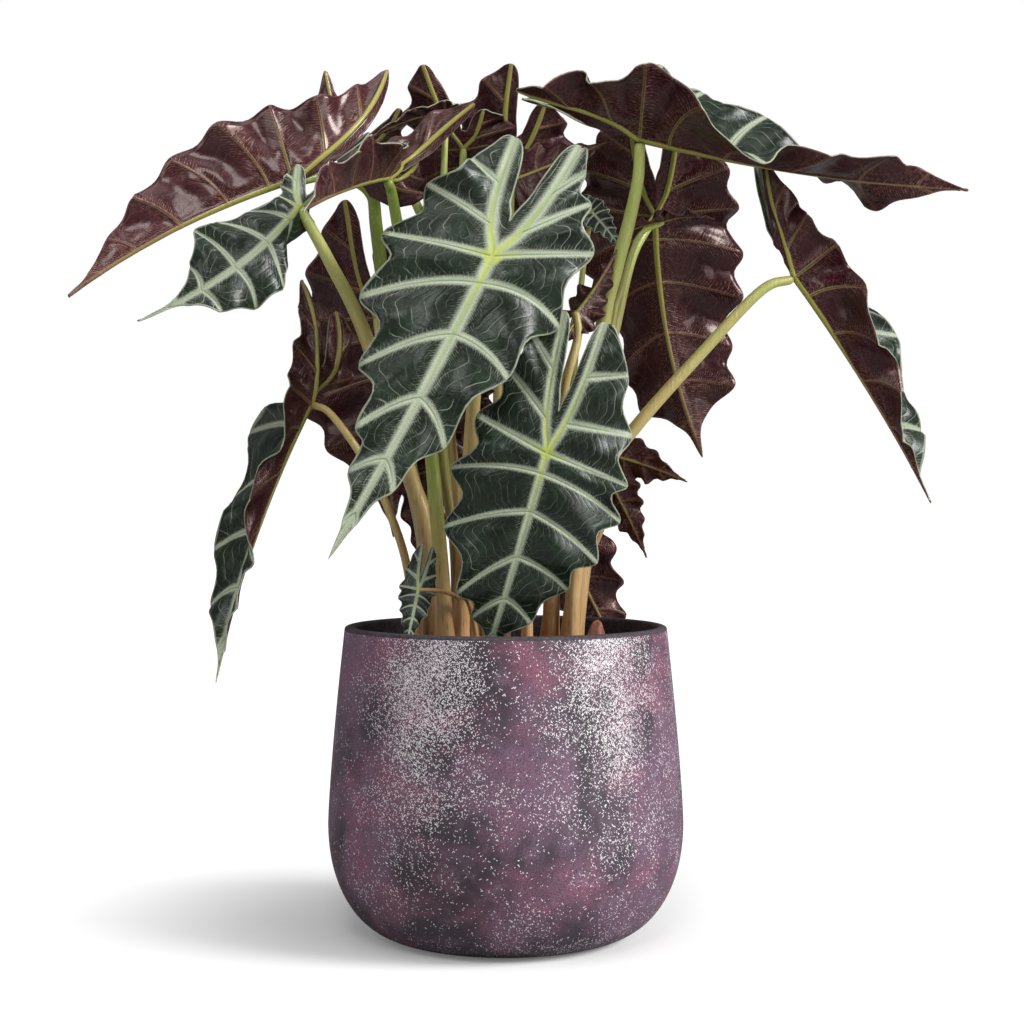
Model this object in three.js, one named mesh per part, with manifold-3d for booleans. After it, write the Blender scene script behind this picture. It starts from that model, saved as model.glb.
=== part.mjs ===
// Potted african mask plant: a thick-walled round pot full of soil, and arrow-shaped leaves on bare stalks.
// Millimetres. +Z is up, +X is to the right of someone who looks along +Y at the front of the plant.
import * as THREE from "three";
import { mergeVertices } from "three/addons/utils/BufferGeometryUtils.js";
import Module from "manifold-3d";

// The pot: a flat foot, a round belly below the middle, and sides that lean in to the rim.
const POT_HEIGHT = 207;
const POT_RIM_RADIUS = 109;
const POT_BELLY_RADIUS = 120;
const POT_BELLY_HEIGHT = 75;
const POT_FOOT_RADIUS = 70;
const POT_WALL = 7;
const POT_FLOOR = 9;
const POT_CORNER_POWER = 2.1;
const POT_LEAN_POWER = 1.3;
const POT_RIM_ROUND = 2;
const POT_SIDES = 40;

// The soil fills the pot up to a level below the rim.
const SOIL_TOP = 180;
const SOIL_SIDES = 26;

// Clearance between two pieces that touch, and the finest detail that is kept.
const GAP = 0.3;
const FINEST = 0.005;

// The stalks go this far down into the soil, and are drawn with this many sides and steps.
const STALK_DEPTH = 14;
const STALK_SIDES = 6;
const STALK_STEPS = 6;

// Half the thickness of a blade at its margin, and what its ribs add to that.
const BLADE_HALF = 0.42;
const RIB_HALF = 0.34;
const MOST_EVEN = 1.8;

// Outline of half a leaf, flat, in blade lengths. Row u of RIB is where side vein u leaves the midrib
// or the rib of a back lobe, and row u of EDGE is where it meets the margin. u runs from -3 to 6.
const FIRST_VEIN = -3;
const LAST_VEIN = 6;
const RIB = [
  [0.1, -0.46], [0.083, -0.27], [0.05, -0.11], [0, 0], [0, 0.1],
  [0, 0.29], [0, 0.52], [0, 0.74], [0, 0.93], [0, 1.1],
];
const EDGE = [
  [0.1, -0.46], [0.22, -0.36], [0.31, -0.2], [0.36, -0.01], [0.335, 0.21],
  [0.265, 0.43], [0.18, 0.64], [0.095, 0.82], [0.02, 0.985], [0, 1.1],
];
const LOBE_TURN = [-0.03, -0.4];
// How far back of the stalk the two lobes stay joined, and how long the lobes and the tip are.
const WEB = 0.145;
const LOBE = 0.46;
const TIP = 1.1;

// Small vector tools.
const add = (a, b) => [a[0] + b[0], a[1] + b[1], a[2] + b[2]];
const sub = (a, b) => [a[0] - b[0], a[1] - b[1], a[2] - b[2]];
const mul = (a, k) => [a[0] * k, a[1] * k, a[2] * k];
const dot = (a, b) => a[0] * b[0] + a[1] * b[1] + a[2] * b[2];
const cross = (a, b) => [
  a[1] * b[2] - a[2] * b[1],
  a[2] * b[0] - a[0] * b[2],
  a[0] * b[1] - a[1] * b[0],
];
const size = (a) => Math.sqrt(dot(a, a));
const unit = (a) => mul(a, 1 / Math.max(size(a), 1e-12));
const mix = (a, b, t) => add(mul(a, 1 - t), mul(b, t));
const radians = (a) => (a * Math.PI) / 180;
const ease = (t) => {
  const k = Math.min(1, Math.max(0, t));
  return k * k * (3 - 2 * k);
};
const pair = (value) => (Array.isArray(value) ? value : [value, value]);

// A smooth curve through the rows of a table, or through points.
function smooth(p0, p1, p2, p3, f) {
  return p1.map((b, i) => {
    const a = p0[i];
    const c = p2[i];
    const d = p3[i];
    const turn = (2 * a - 5 * b + 4 * c - d) * f * f;
    return 0.5 * (2 * b + (c - a) * f + turn + (3 * b - a - 3 * c + d) * f ** 3);
  });
}

const beyond = (p, q) => p.map((v, i) => 2 * v - q[i]);

function row(table, u, first) {
  const i = Math.min(Math.max(Math.floor(u - FIRST_VEIN), 0), table.length - 2);
  const p1 = table[i];
  const p2 = table[i + 1];
  const p0 = i > 0 ? table[i - 1] : (first ?? beyond(p1, p2));
  const p3 = i + 2 < table.length ? table[i + 2] : beyond(p2, p1);
  return smooth(p0, p1, p2, p3, u - FIRST_VEIN - i);
}

// A point of the flat half leaf between vein foot (w = 0) and margin (w = 1).
function flatOuter(u, w, scallop, edge) {
  const foot = row(RIB, u);
  const end = row(edge ?? EDGE, u, LOBE_TURN);
  if (u > 0) foot[0] = 0;
  let notch = Math.sin(Math.PI * u) ** 2 * scallop;
  if (u > 5) notch = 0;
  if (u < -2) notch *= 0.3;
  const m = end.map((v, i) => foot[i] + (v - foot[i]) * (1 - notch));
  const span = Math.hypot(m[0] - foot[0], m[1] - foot[1]);
  const bow = (u > 0 ? -0.05 : 0) * Math.min(1, span / 0.25) * Math.min(1, Math.abs(u));
  const c = [(foot[0] + m[0]) / 2, (foot[1] + m[1]) / 2 + bow];
  return foot.map((s, i) => s * (1 - w) ** 2 + 2 * c[i] * w * (1 - w) + m[i] * w * w);
}

// A point between the rib of a back lobe (w = 0) and the cut between the lobes (w = 1).
function flatInner(u, w) {
  const foot = row(RIB, u);
  const t = -u / 3;
  let end = [0, (-WEB * t) / 0.25];
  if (t > 0.25) {
    const k = (t - 0.25) / 0.75;
    const p = [[0, -WEB], [0.045, -0.25], [0.03, -LOBE], [0.1, -LOBE]];
    const f = [(1 - k) ** 3, 3 * k * (1 - k) ** 2, 3 * k * k * (1 - k), k ** 3];
    end = [0, 1].map((i) => f.reduce((sum, weight, n) => sum + weight * p[n][i], 0));
  }
  return foot.map((s, i) => s * (1 - w) + end[i] * w);
}

// A value that changes along the blade, given at the lobes, the stalk, the middle and the tip.
function along(value, y) {
  if (!Array.isArray(value)) return value;
  const v = value.length === 3 ? [value[0], value[1], (value[1] + value[2]) / 2, value[2]] : value;
  if (y < 0) return v[1] + (v[0] - v[1]) * ease(-y / LOBE);
  if (y < 0.5) return v[1] + (v[2] - v[1]) * ease(y / 0.5);
  return v[2] + (v[3] - v[2]) * ease((y - 0.5) / 0.5);
}

const arc = (a, b, c, t) => add(add(mul(a, (1 - t) ** 2), mul(b, 2 * t * (1 - t))), mul(c, t * t));
const slope = (a, b, c, t) => add(mul(sub(b, a), 2 * (1 - t)), mul(sub(c, b), 2 * t));

// A leaf hung in space: joint is where the stalk meets the blade, tip is the end of the drip tip, and
// face is where the upper side looks at the joint, the middle and the tip. sag bows the midrib up and
// sweep bows it sideways. fold lifts each half towards the upper side and curl bends it, in degrees.
// lift and swing turn each back lobe up and outwards, splay widens it, and lobes and width scale it.
function leafShape(leaf) {
  const spec = {
    sag: 0.08, sweep: 0, lift: 0, swing: 0, width: 1, fold: [0, 0], curl: [0, 0], ripple: 0.02,
    lobes: 1, splay: [0, 0], scallop: 0.2, edge: [null, null], lobeFace: null, quilt: 0.012, ...leaf,
  };
  const J = spec.joint;
  const T = spec.tip;
  let faces = Array.isArray(spec.face[0]) ? spec.face : [spec.face, spec.face, spec.face];
  faces = faces.map(unit);
  const lobeFace = spec.lobeFace ? unit(spec.lobeFace) : faces[0];
  const chord = sub(T, J);
  const L = size(chord) / TIP;
  const t = unit(chord);
  const X = unit(cross(t, faces[0]));
  const N = cross(X, t);
  const middle = mul(add(J, T), 0.5);
  const control = add(add(middle, mul(N, spec.sag * L * 2)), mul(X, spec.sweep * L * 2));
  const t0 = unit(sub(control, J));
  const X0 = unit(cross(t0, faces[0]));
  const N0 = cross(X0, t0);
  const width = pair(spec.width);
  const lobes = [0, 1].map((k) => {
    const reach = LOBE * L * pair(spec.lobes)[k];
    const up = radians(pair(spec.lift)[k]);
    const out = radians(pair(spec.swing)[k]);
    const back = add(mul(t0, -Math.cos(up)), mul(N0, Math.sin(up)));
    const way = add(mul(back, Math.cos(out)), mul(X0, (k ? -1 : 1) * Math.sin(out)));
    return { control: sub(J, mul(t0, reach * 0.5)), end: add(J, mul(way, reach)) };
  });
  const frame = (y, k) => {
    let c;
    let d;
    let f;
    if (y >= 0) {
      c = arc(J, control, T, y / TIP);
      d = unit(slope(J, control, T, y / TIP));
      f = y < 0.5 ? mix(faces[0], faces[1], ease(y / 0.5)) : mix(faces[1], faces[2], ease((y - 0.5) / 0.5));
    } else {
      c = arc(J, lobes[k].control, lobes[k].end, -y / LOBE);
      d = mul(unit(slope(J, lobes[k].control, lobes[k].end, -y / LOBE)), -1);
      f = mix(faces[0], lobeFace, ease((-y / LOBE) * 2));
    }
    const across = unit(cross(d, f));
    return { c, across, up: cross(across, d) };
  };
  const place = (x, y, k, u, w, inner) => {
    const { c, across, up } = frame(y, k);
    const splay = spec.splay[k] * Math.max(0, -y) * Math.min(1, Math.abs(x) / 0.05);
    const a = (Math.abs(x) + splay) * L * along(width[k], y);
    const fold = radians(along(spec.fold[k], y));
    const bend = radians(along(spec.curl[k], y)) / (0.35 * L);
    const turn = fold + bend * a;
    let out = a * Math.cos(fold);
    let rise = a * Math.sin(fold);
    if (Math.abs(bend) > 1e-9) {
      out = (Math.sin(turn) - Math.sin(fold)) / bend;
      rise = (Math.cos(fold) - Math.cos(turn)) / bend;
    }
    let h = spec.ripple * 0.5 * w * Math.sin(u * 2) * Math.sin((Math.PI * -u) / 3);
    if (!inner) {
      const reach = Math.min(1, Math.abs(x) / 0.3);
      const wave = Math.sin(0.9 * Math.PI * u + (k ? 2.1 : 0)) - Math.cos(2 * Math.PI * u) * 0.6;
      h = spec.quilt * Math.sin(Math.PI * u) ** 2 * Math.sin(Math.PI * w) * Math.min(1, reach * 1.5);
      h += spec.ripple * w * w * wave * Math.min(1, reach + 0.25);
      h *= Math.min(1, u - FIRST_VEIN, LAST_VEIN - u);
    }
    h *= L * Math.min(1, a / (0.09 * L) + 0.1);
    const sideways = mul(across, (k ? -1 : 1) * (out - Math.sin(turn) * h));
    return add(add(c, sideways), mul(up, rise + Math.cos(turn) * h));
  };
  const outer = (u, w, k) => {
    const [x, y] = flatOuter(u, w, spec.scallop, spec.edge[k]);
    return place(x, y, k, u, w, false);
  };
  const inner = (u, w, k) => {
    const p = place(...flatInner(u, w), k, u, w, true);
    const both = [0, 1].map((side) => place(...flatInner(u, 1), side, u, 1, true));
    const share = Math.min(1, Math.max(0, (0.4 + u / 3) / 0.15));
    return add(p, mul(sub(mul(add(both[0], both[1]), 0.5), both[k]), share * w));
  };
  return { outer, inner, length: L };
}

// The blade as one sheet: points, strips of triangles whose upper side faces out, and how far each
// point is from its rib.
function leafSheet(shape, rows, columns) {
  const points = [];
  const reach = [];
  const seen = new Map();
  const at = (p, w) => {
    const key = p.map((v) => Math.round(v * 2e3)).join(" ");
    if (!seen.has(key)) {
      seen.set(key, points.length);
      points.push(p);
      reach.push(w);
    }
    return seen.get(key);
  };
  const strips = [];
  const strip = (from, to, wide, place, flip) => {
    const triangles = [];
    const count = (to - from) * rows;
    const grid = [];
    for (let i = 0; i <= count; i++) {
      const line = [];
      const u = from + i / rows;
      const fade = Math.min(1, u - FIRST_VEIN, LAST_VEIN - u);
      for (let j = 0; j <= wide; j++) line.push(at(place(u, j / wide), 1 - (1 - j / wide) * fade));
      grid.push(line);
    }
    for (let i = 0; i < count; i++) {
      for (let j = 0; j < wide; j++) {
        const q = [grid[i][j], grid[i + 1][j], grid[i + 1][j + 1], grid[i][j + 1]];
        for (const tri of [[q[0], q[1], q[2]], [q[0], q[2], q[3]]]) {
          if (new Set(tri).size === 3) triangles.push(flip ? [tri[0], tri[2], tri[1]] : tri);
        }
      }
    }
    strips.push(triangles);
  };
  for (const k of [0, 1]) {
    strip(FIRST_VEIN, LAST_VEIN, columns, (u, w) => shape.outer(u, w, k), k === 0);
    strip(FIRST_VEIN, 0, 1, (u, w) => shape.inner(u, w, k), k === 1);
  }
  return { points, strips, reach };
}

// The sheet as a closed blade: each face is the sheet moved along its normals, with the same triangles.
// shift 1 puts all of the thickness under the sheet, for a blade folded upwards, and -1 above it.
function thicken(sheet, half, rib, shift = 0, extra = 0) {
  const { points, strips, reach } = sheet;
  const triangles = strips.flat();
  const normals = points.map(() => [0, 0, 0]);
  const flats = triangles.map(([a, b, c]) => {
    const n = unit(cross(sub(points[b], points[a]), sub(points[c], points[a])));
    for (const [p, q, r] of [[a, b, c], [b, c, a], [c, a, b]]) {
      const e = unit(sub(points[q], points[p]));
      const f = unit(sub(points[r], points[p]));
      const angle = Math.acos(Math.min(1, Math.max(-1, dot(e, f))));
      normals[p] = add(normals[p], mul(n, angle));
    }
    return n;
  });
  const worst = points.map(() => 1);
  normals.forEach((n, i) => (normals[i] = unit(n)));
  triangles.forEach((tri, i) => {
    for (const p of tri) worst[p] = Math.min(worst[p], Math.max(0.05, dot(normals[p], flats[i])));
  });
  const count = points.length;
  const vertices = [];
  for (const side of [1, -1]) {
    points.forEach((p, i) => {
      const even = Math.min(MOST_EVEN, 1 / worst[i]);
      const h = half + rib * (1 - reach[i]) ** 2;
      vertices.push(...add(p, mul(normals[i], (side * (h + extra) - shift * h) * even)));
    });
  }
  const walled = strips.map((some) => {
    const index = [];
    const edges = new Map();
    for (const [a, b, c] of some) {
      index.push(a, b, c, a + count, c + count, b + count);
      for (const [p, q] of [[a, b], [b, c], [c, a]]) {
        if (edges.has(q + " " + p)) edges.delete(q + " " + p);
        else edges.set(p + " " + q, [p, q]);
      }
    }
    for (const [p, q] of edges.values()) {
      if (p < q) index.push(q, p, p + count, q, p + count, q + count);
      else index.push(q, p, q + count, p, p + count, q + count);
    }
    return solid({ vertices, index });
  });
  return wasm.Manifold.union(walled);
}

// A closed tube along a path, with its radius at each end.
function tube(path, foot, head, sides) {
  const vertices = [];
  const index = [];
  let across = unit(cross(sub(path[1], path[0]), [0.3, 1, 0.1]));
  path.forEach((p, i) => {
    const d = unit(sub(path[Math.min(i + 1, path.length - 1)], path[Math.max(i - 1, 0)]));
    across = unit(sub(across, mul(d, dot(across, d))));
    const other = cross(d, across);
    const r = foot + (head - foot) * (i / (path.length - 1));
    for (let k = 0; k < sides; k++) {
      const turn = (2 * Math.PI * k) / sides;
      vertices.push(...add(p, add(mul(across, r * Math.cos(turn)), mul(other, r * Math.sin(turn)))));
    }
  });
  for (let i = 0; i < path.length - 1; i++) {
    for (let k = 0; k < sides; k++) {
      const a = i * sides + k;
      const b = i * sides + ((k + 1) % sides);
      index.push(a, b, a + sides, b, b + sides, a + sides);
    }
  }
  const last = (path.length - 1) * sides;
  for (let k = 1; k < sides - 1; k++) {
    index.push(0, k + 1, k, last, last + k, last + k + 1);
  }
  return { vertices, index };
}

function throughPoints(points, steps) {
  const last = points.length - 1;
  const path = [];
  for (let i = 0; i <= steps; i++) {
    const t = (i / steps) * last;
    const k = Math.min(Math.floor(t), last - 1);
    const p1 = points[k];
    const p2 = points[k + 1];
    const p0 = k > 0 ? points[k - 1] : beyond(p1, p2);
    const p3 = k + 2 <= last ? points[k + 2] : beyond(p2, p1);
    path.push(smooth(p0, p1, p2, p3, t - k));
  }
  return path;
}

const wasm = await Module();
wasm.setup();

function solid({ vertices, index }) {
  const mesh = new wasm.Mesh({
    numProp: 3,
    vertProperties: new Float32Array(vertices),
    triVerts: new Uint32Array(index),
  });
  return new wasm.Manifold(mesh);
}

function solidOfGeometry(geometry) {
  const bare = geometry.clone();
  bare.deleteAttribute("normal");
  bare.deleteAttribute("uv");
  const merged = mergeVertices(bare, 1e-4);
  return solid({ vertices: merged.attributes.position.array, index: merged.index.array });
}

function largest(piece) {
  const bodies = piece.decompose();
  return bodies.reduce((best, body) => (body.volume() > best.volume() ? body : best)).simplify(FINEST);
}

const group = new THREE.Group();
group.name = "potted_african_mask_plant";

function addPiece(name, piece, colour, roughness) {
  const { numProp, numVert, vertProperties, triVerts } = piece.getMesh();
  const positions = new Float32Array(numVert * 3);
  for (let i = 0; i < numVert; i++) {
    positions.set(vertProperties.subarray(i * numProp, i * numProp + 3), i * 3);
  }
  const geometry = new THREE.BufferGeometry();
  geometry.setAttribute("position", new THREE.BufferAttribute(positions, 3));
  geometry.setIndex(new THREE.BufferAttribute(new Uint32Array(triVerts), 1));
  geometry.computeVertexNormals();
  const look = { color: colour, roughness, metalness: 0, flatShading: true };
  const material = new THREE.MeshStandardMaterial(look);
  const mesh = new THREE.Mesh(geometry, material);
  mesh.name = name;
  group.add(mesh);
}

// The pot's outside, from the edge of its foot up to the rim.
function potOutside() {
  const line = [];
  for (let i = 0; i <= 6; i++) {
    const t = ((i / 6) * Math.PI) / 2;
    const r = POT_FOOT_RADIUS + (POT_BELLY_RADIUS - POT_FOOT_RADIUS) * Math.sin(t) ** (2 / POT_CORNER_POWER);
    const z = POT_BELLY_HEIGHT * (1 - Math.cos(t) ** (2 / POT_CORNER_POWER));
    line.push([r, z]);
  }
  for (let i = 1; i <= 4; i++) {
    const u = i / 4;
    const r = POT_BELLY_RADIUS - (POT_BELLY_RADIUS - POT_RIM_RADIUS) * u ** POT_LEAN_POWER;
    line.push([r, POT_BELLY_HEIGHT + (POT_HEIGHT - POT_RIM_ROUND - POT_BELLY_HEIGHT) * u]);
  }
  return line;
}

// The pot's inside, from the rim down to the middle of its floor.
function potInside(inset) {
  const outside = potOutside().filter((point, i) => i % 2 === 0 || i === 3);
  const line = [];
  for (const [r, z] of outside.reverse()) {
    if (z > POT_FLOOR + 6) line.push([r - POT_WALL - inset, z]);
  }
  const [r] = line[line.length - 1];
  line.push([r - 15, POT_FLOOR + inset]);
  return line;
}

function makePot() {
  const rim = POT_RIM_RADIUS;
  const profile = [
    [0, 0],
    ...potOutside(),
    [rim - POT_RIM_ROUND, POT_HEIGHT],
    [rim - POT_WALL + POT_RIM_ROUND, POT_HEIGHT],
    ...potInside(0),
    [0, POT_FLOOR],
  ];
  const points = profile.map(([r, z]) => new THREE.Vector2(r, z));
  const lathe = new THREE.LatheGeometry(points, POT_SIDES);
  lathe.rotateX(Math.PI / 2);
  return solidOfGeometry(lathe);
}

// The soil follows the pot's inside, with a slight mound to the middle.
function makeSoil() {
  const wall = potInside(GAP + 0.3).filter(([, z]) => z < SOIL_TOP - 8);
  const top = POT_RIM_RADIUS - POT_WALL - GAP - 0.3;
  const profile = [[0, POT_FLOOR + GAP], [wall[wall.length - 1][0], POT_FLOOR + GAP]];
  for (const point of wall.slice(0, -1).reverse()) profile.push(point);
  profile.push([top, SOIL_TOP - 2], [top - 4, SOIL_TOP], [0, SOIL_TOP]);
  const points = profile.map(([r, z]) => new THREE.Vector2(r, z));
  const lathe = new THREE.LatheGeometry(points, SOIL_SIDES);
  lathe.rotateX(Math.PI / 2);
  return solidOfGeometry(lathe);
}

// A dry scale of an old leaf sheath, which stands in the soil beside the stalks.
const SCALE_PLACE = [57, -62];
const SCALE_RADIUS = 11;
const SCALE_SPREAD = 62;
const SCALE_TOP = 214;
const SCALE_LEAN = 0.22;

function scaleSheet() {
  const points = [];
  const triangles = [];
  const reach = [];
  const rows = 6;
  const columns = 6;
  for (let i = 0; i <= rows; i++) {
    for (let j = 0; j <= columns; j++) {
      const h = i / rows;
      const side = (2 * j) / columns - 1;
      const narrow = 1 - 0.45 * h * h;
      const turn = radians(SCALE_SPREAD * side * narrow);
      const z = SOIL_TOP - 8 + (SCALE_TOP - SOIL_TOP + 8) * h * (1 - 0.18 * side * side * h);
      const out = SCALE_RADIUS * (1 - 0.15 * h);
      const lean = SCALE_LEAN * (z - SOIL_TOP);
      const x = SCALE_PLACE[0] + out * Math.sin(turn) + lean * 0.3;
      const y = SCALE_PLACE[1] - out * Math.cos(turn) + 9 + lean;
      points.push([x, y, z]);
      reach.push(1);
    }
  }
  const wide = columns + 1;
  for (let i = 0; i < rows; i++) {
    for (let j = 0; j < columns; j++) {
      const a = i * wide + j;
      triangles.push([a, a + 1, a + wide + 1], [a, a + wide + 1, a + wide]);
    }
  }
  return { points, strips: [triangles], reach };
}

// The leaves. stem lists the stalk's way from the soil to the joint, and thick is its radius at the
// soil and at the blade. rows and columns are the triangles between two side veins and along one.
const LEAVES = [
  {
    name: "front_upper",
    joint: [-8, -100, 443], tip: [-107, -135, 255], face: [0.05, -1, 0.15], sag: 0.04, sweep: -0.015,
    lift: [0, 0], fold: [4, 0], curl: [[-10, -15, -10], [-15, -25, -10]], ripple: 0.03,
    lobes: [0.9, 1.06], edge: [[[0.12, -0.46], [0.2, -0.31], [0.3, -0.17], [0.355, 0.07], [0.32, 0.31],
      [0.22, 0.515], [0.13, 0.7], [0.085, 0.83], [0.02, 0.98], [0, 1.1]], [[0.11, -0.47],
      [0.155, -0.39], [0.22, -0.32], [0.29, -0.16], [0.31, 0.085], [0.215, 0.34], [0.145, 0.62],
      [0.07, 0.82], [0.02, 0.97], [0, 1.1]]], stem: [[-30, -22, 176], [-28, -26, 250], [-18, -50, 390]],
    thick: [6, 3.5], rows: 3, columns: 3,
  },
  {
    name: "front_lower",
    joint: [26, -85, 321], tip: [-14, -60, 186], face: [0.1, -1, 0.1], sag: 0.06, sweep: 0,
    fold: [0, 0], curl: [-10, -10], ripple: 0.03, lobes: [1.5, 1.5], edge: [[[0.1, -0.46],
      [0.24, -0.37], [0.32, -0.25], [0.38, -0.06], [0.43, 0.19], [0.39, 0.49], [0.23, 0.78],
      [0.125, 0.89], [0.03, 0.99], [0, 1.1]], [[0.14, -0.46], [0.285, -0.32], [0.4, -0.135],
      [0.43, 0.04], [0.465, 0.225], [0.39, 0.45], [0.3, 0.63], [0.16, 0.83], [0.03, 0.99], [0, 1.1]]],
    stem: [[30, -8, 176], [31, -14, 230], [34, -50, 300]], thick: [6.5, 3.5], rows: 3, columns: 3,
  },
  {
    name: "left_arching", shift: 1,
    joint: [-137, -60, 497], tip: [-272, -100, 418], face: [0, 0.7, 0.7], lift: [20, 40],
    width: [0.7, [0.8, 0.97, 1.1, 1.15]], fold: [80, 45], ripple: 0.03, lobes: [1, 1.75], scallop: 0.08,
    stem: [[-40, 16, 176], [-53, 12, 251], [-74, 8, 360], [-86, -12, 468], [-90, -30, 495],
      [-113, -44, 503]], thick: [6, 2.8], rows: 3, columns: 2,
  },
  {
    name: "left_facing", shift: -1,
    joint: [-131, -72, 478], tip: [-226, -112, 401], face: [0, -1, 0.1], sweep: -0.09,
    lift: [14, 0], scallop: 0.1,
    width: [1, [0.4, 0.5, 1.1, 1.3]], fold: [0, [-75, -70, -20, 0]], ripple: 0.03,
    edge: [[[0.1, -0.46], [0.15, -0.33], [0.16, -0.18], [0.13, 0], [0.19, 0.2], [0.27, 0.4],
      [0.29, 0.57], [0.14, 0.72], [0.03, 0.88], [0, 1.1]], [[0.1, -0.46], [0.22, -0.36], [0.31, -0.2],
      [0.34, -0.01], [0.22, 0.2], [0.24, 0.38], [0.22, 0.55], [0.13, 0.72], [0.02, 0.86], [0, 1.1]]],
    lobes: [0.58, 0.6],
    stem: [[-47, -4, 176], [-53, -4, 265], [-66, -6, 312], [-93, -30, 401], [-114, -54, 446]],
    swing: [12, 0],
    thick: [7, 3.3], rows: 3, columns: 2,
  },
  {
    name: "left_folded", shift: 1,
    joint: [-75, -70, 498], tip: [-114, -200, 455], face: [0, 0, 1], sag: 0.02, lift: [15, 25],
    swing: [0, 32], width: [0.6, [0.9, 0.5, 0.95, 1.9]], fold: [[20, 10, 30, 50], [-10, 50, 65, 85]],
    ripple: 0.03, lobes: [0.7, 1.47], lobeFace: [-0.24, 0.79, -0.36],
    stem: [[-36, -38, 176], [-44, -36, 268], [-53, -38, 358], [-71, -55, 476]], thick: [5.5, 3],
    rows: 3, columns: 2,
  },
  {
    name: "back_left_top",
    joint: [-106, 60, 544], tip: [-125, 170, 536], face: [0, 0, 1], lift: [45, 75], width: 0.8,
    fold: [10, 10], ripple: 0.02, lobes: [0.8, 1.15], lobeFace: [0, 1, 0.3], splay: [0.5, 0.45],
    stem: [[-34, 32, 176], [-35, 34, 255], [-45, 32, 333], [-52, 34, 457], [-62, 36, 497],
      [-79, 48, 518]], thick: [4.5, 2.8], rows: 2, columns: 2,
  },
  {
    name: "back_top_small",
    joint: [-40, -14, 551], tip: [-94, -16, 531], face: [0, 0.3, 1], width: 0.6, lobes: 0.55,
    fold: [10, 10], ripple: 0.03, stem: [[-20, 24, 176], [-34, 18, 300], [-42, -4, 400],
      [-42, -16, 480]],
    thick: [3.5, 2], rows: 2, columns: 2,
  },
  {
    name: "back_top_left",
    joint: [-29, 10, 531], tip: [-18, 40, 411], face: [0, 1, 0.2], fold: [10, 10], ripple: 0.03,
    lobes: [0.5, 1.15], splay: [0.1, 0.2], stem: [[-20, 6, 176], [-24, 6, 300], [-30, 0, 450]],
    thick: [4.5, 2.5], rows: 2, columns: 2,
  },
  {
    name: "back_top_middle",
    joint: [3, 60, 530], tip: [-34, 70, 371], face: [0, 1, 0.1], fold: [10, 10], ripple: 0.03,
    lobes: [0.7, 1], stem: [[-6, 40, 176], [-6, 40, 300], [-4, 46, 450]], thick: [4.5, 2.5],
    rows: 2, columns: 2,
  },
  {
    name: "right_arching", shift: 1,
    joint: [88, -40, 528], tip: [298, -60, 491], face: [[0, -0.1, 1], [0, 0, 1], [0, 1, 0.2]],
      sag: -0.025,
    lift: [5, 3], width: [[1, 1, 1, 0.9], 1], fold: [[8, 38, 0, -14], [15, 50, 39, 6]],
    ripple: 0.042, scallop: 0.24, lobes: 0.95, stem: [[44, -2, 176], [49, -2, 224], [57, -6, 305],
      [65, -14, 407], [73, -20, 443], [81, -26, 473], [87, -34, 502]], edge: [[[0.1, -0.46],
      [0.22, -0.36], [0.31, -0.2], [0.37, -0.03], [0.28, 0.19], [0.25, 0.42], [0.18, 0.63],
      [0.14, 0.83], [0.05, 0.97], [0, 1.1]], [[0.1, -0.46], [0.22, -0.36], [0.31, -0.2],
      [0.36, -0.01], [0.39, 0.16], [0.3, 0.4], [0.2, 0.62], [0.12, 0.82], [0.02, 0.985],
      [0, 1.1]]], thick: [6.5, 3.5], rows: 3, columns: 2,
  },
  {
    name: "right_hanging",
    joint: [105, 45, 491], tip: [141, 70, 322], face: [0, 1, 0.1], sweep: -0.045,
    width: [[1.05, 1.05, 1.4, 2], [1.2, 1.15, 0.95, 1.6]], fold: [10, 30], ripple: 0.036, scallop: 0.1,
    stem: [[46, 14, 176], [50, 16, 245], [60, 14, 300], [65, 14, 360], [76, 18, 413], [88, 26, 461]],
    edge: [[[0.1, -0.46], [0.22, -0.36], [0.31, -0.2], [0.36, -0.01], [0.335, 0.21], [0.265, 0.43],
      [0.19, 0.65], [0.13, 0.84], [0.03, 0.95], [0, 1.1]], [[0.1, -0.46], [0.22, -0.36], [0.31, -0.2],
      [0.36, -0.01], [0.335, 0.21], [0.3, 0.43], [0.24, 0.65], [0.15, 0.84], [0.03, 0.95], [0, 1.1]]],
    thick: [5, 2.8], rows: 3, columns: 2,
  },
  {
    name: "right_inner_small", shift: 1,
    joint: [107, 0, 481], tip: [141, -8, 481], face: [0, -0.2, 1], fold: [30, 36], ripple: 0.08,
    lobes: 1.5, stem: [[36, 10, 176], [46, 8, 240], [61, 4, 300], [72, 4, 407], [79, 4, 436],
      [90, 2, 470]],
    thick: [3, 1.5], rows: 2, columns: 1,
  },
  {
    name: "centre_bud", shift: 1,
    joint: [47, -40, 415], tip: [74, -30, 457], face: [0.5, 0.8, 0.3], fold: [36, 36], ripple: 0.08,
    lobes: 1, stem: [[14, -22, 176], [16, -24, 252], [30, -36, 324], [39, -46, 368], [47, -44, 397]],
    thick: [4, 2.6], rows: 2, columns: 1,
  },
  {
    name: "right_folded", shift: 1,
    joint: [193, -20, 440], tip: [282, -30, 290], face: [0.86, 0, 0.51], sag: 0.02, lift: [16, 12],
    width: [[0.5, 0.62, 0.8, 0.6], [0.6, 0.5, 1.05, 2.6]], fold: [[65, 72, 38, 25], [70, 75, 60, 32]],
    scallop: 0.12,
    ripple: 0.045, lobes: [1.1, 1.2], stem: [[44, -18, 176], [46, -20, 240], [62, -22, 305],
      [88, -22, 342], [129, -24, 388], [169, -26, 430]], thick: [5.5, 3], rows: 3, columns: 2,
  },
  {
    name: "left_hanging",
    joint: [-129, -30, 355], tip: [-187, -60, 174],
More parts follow.
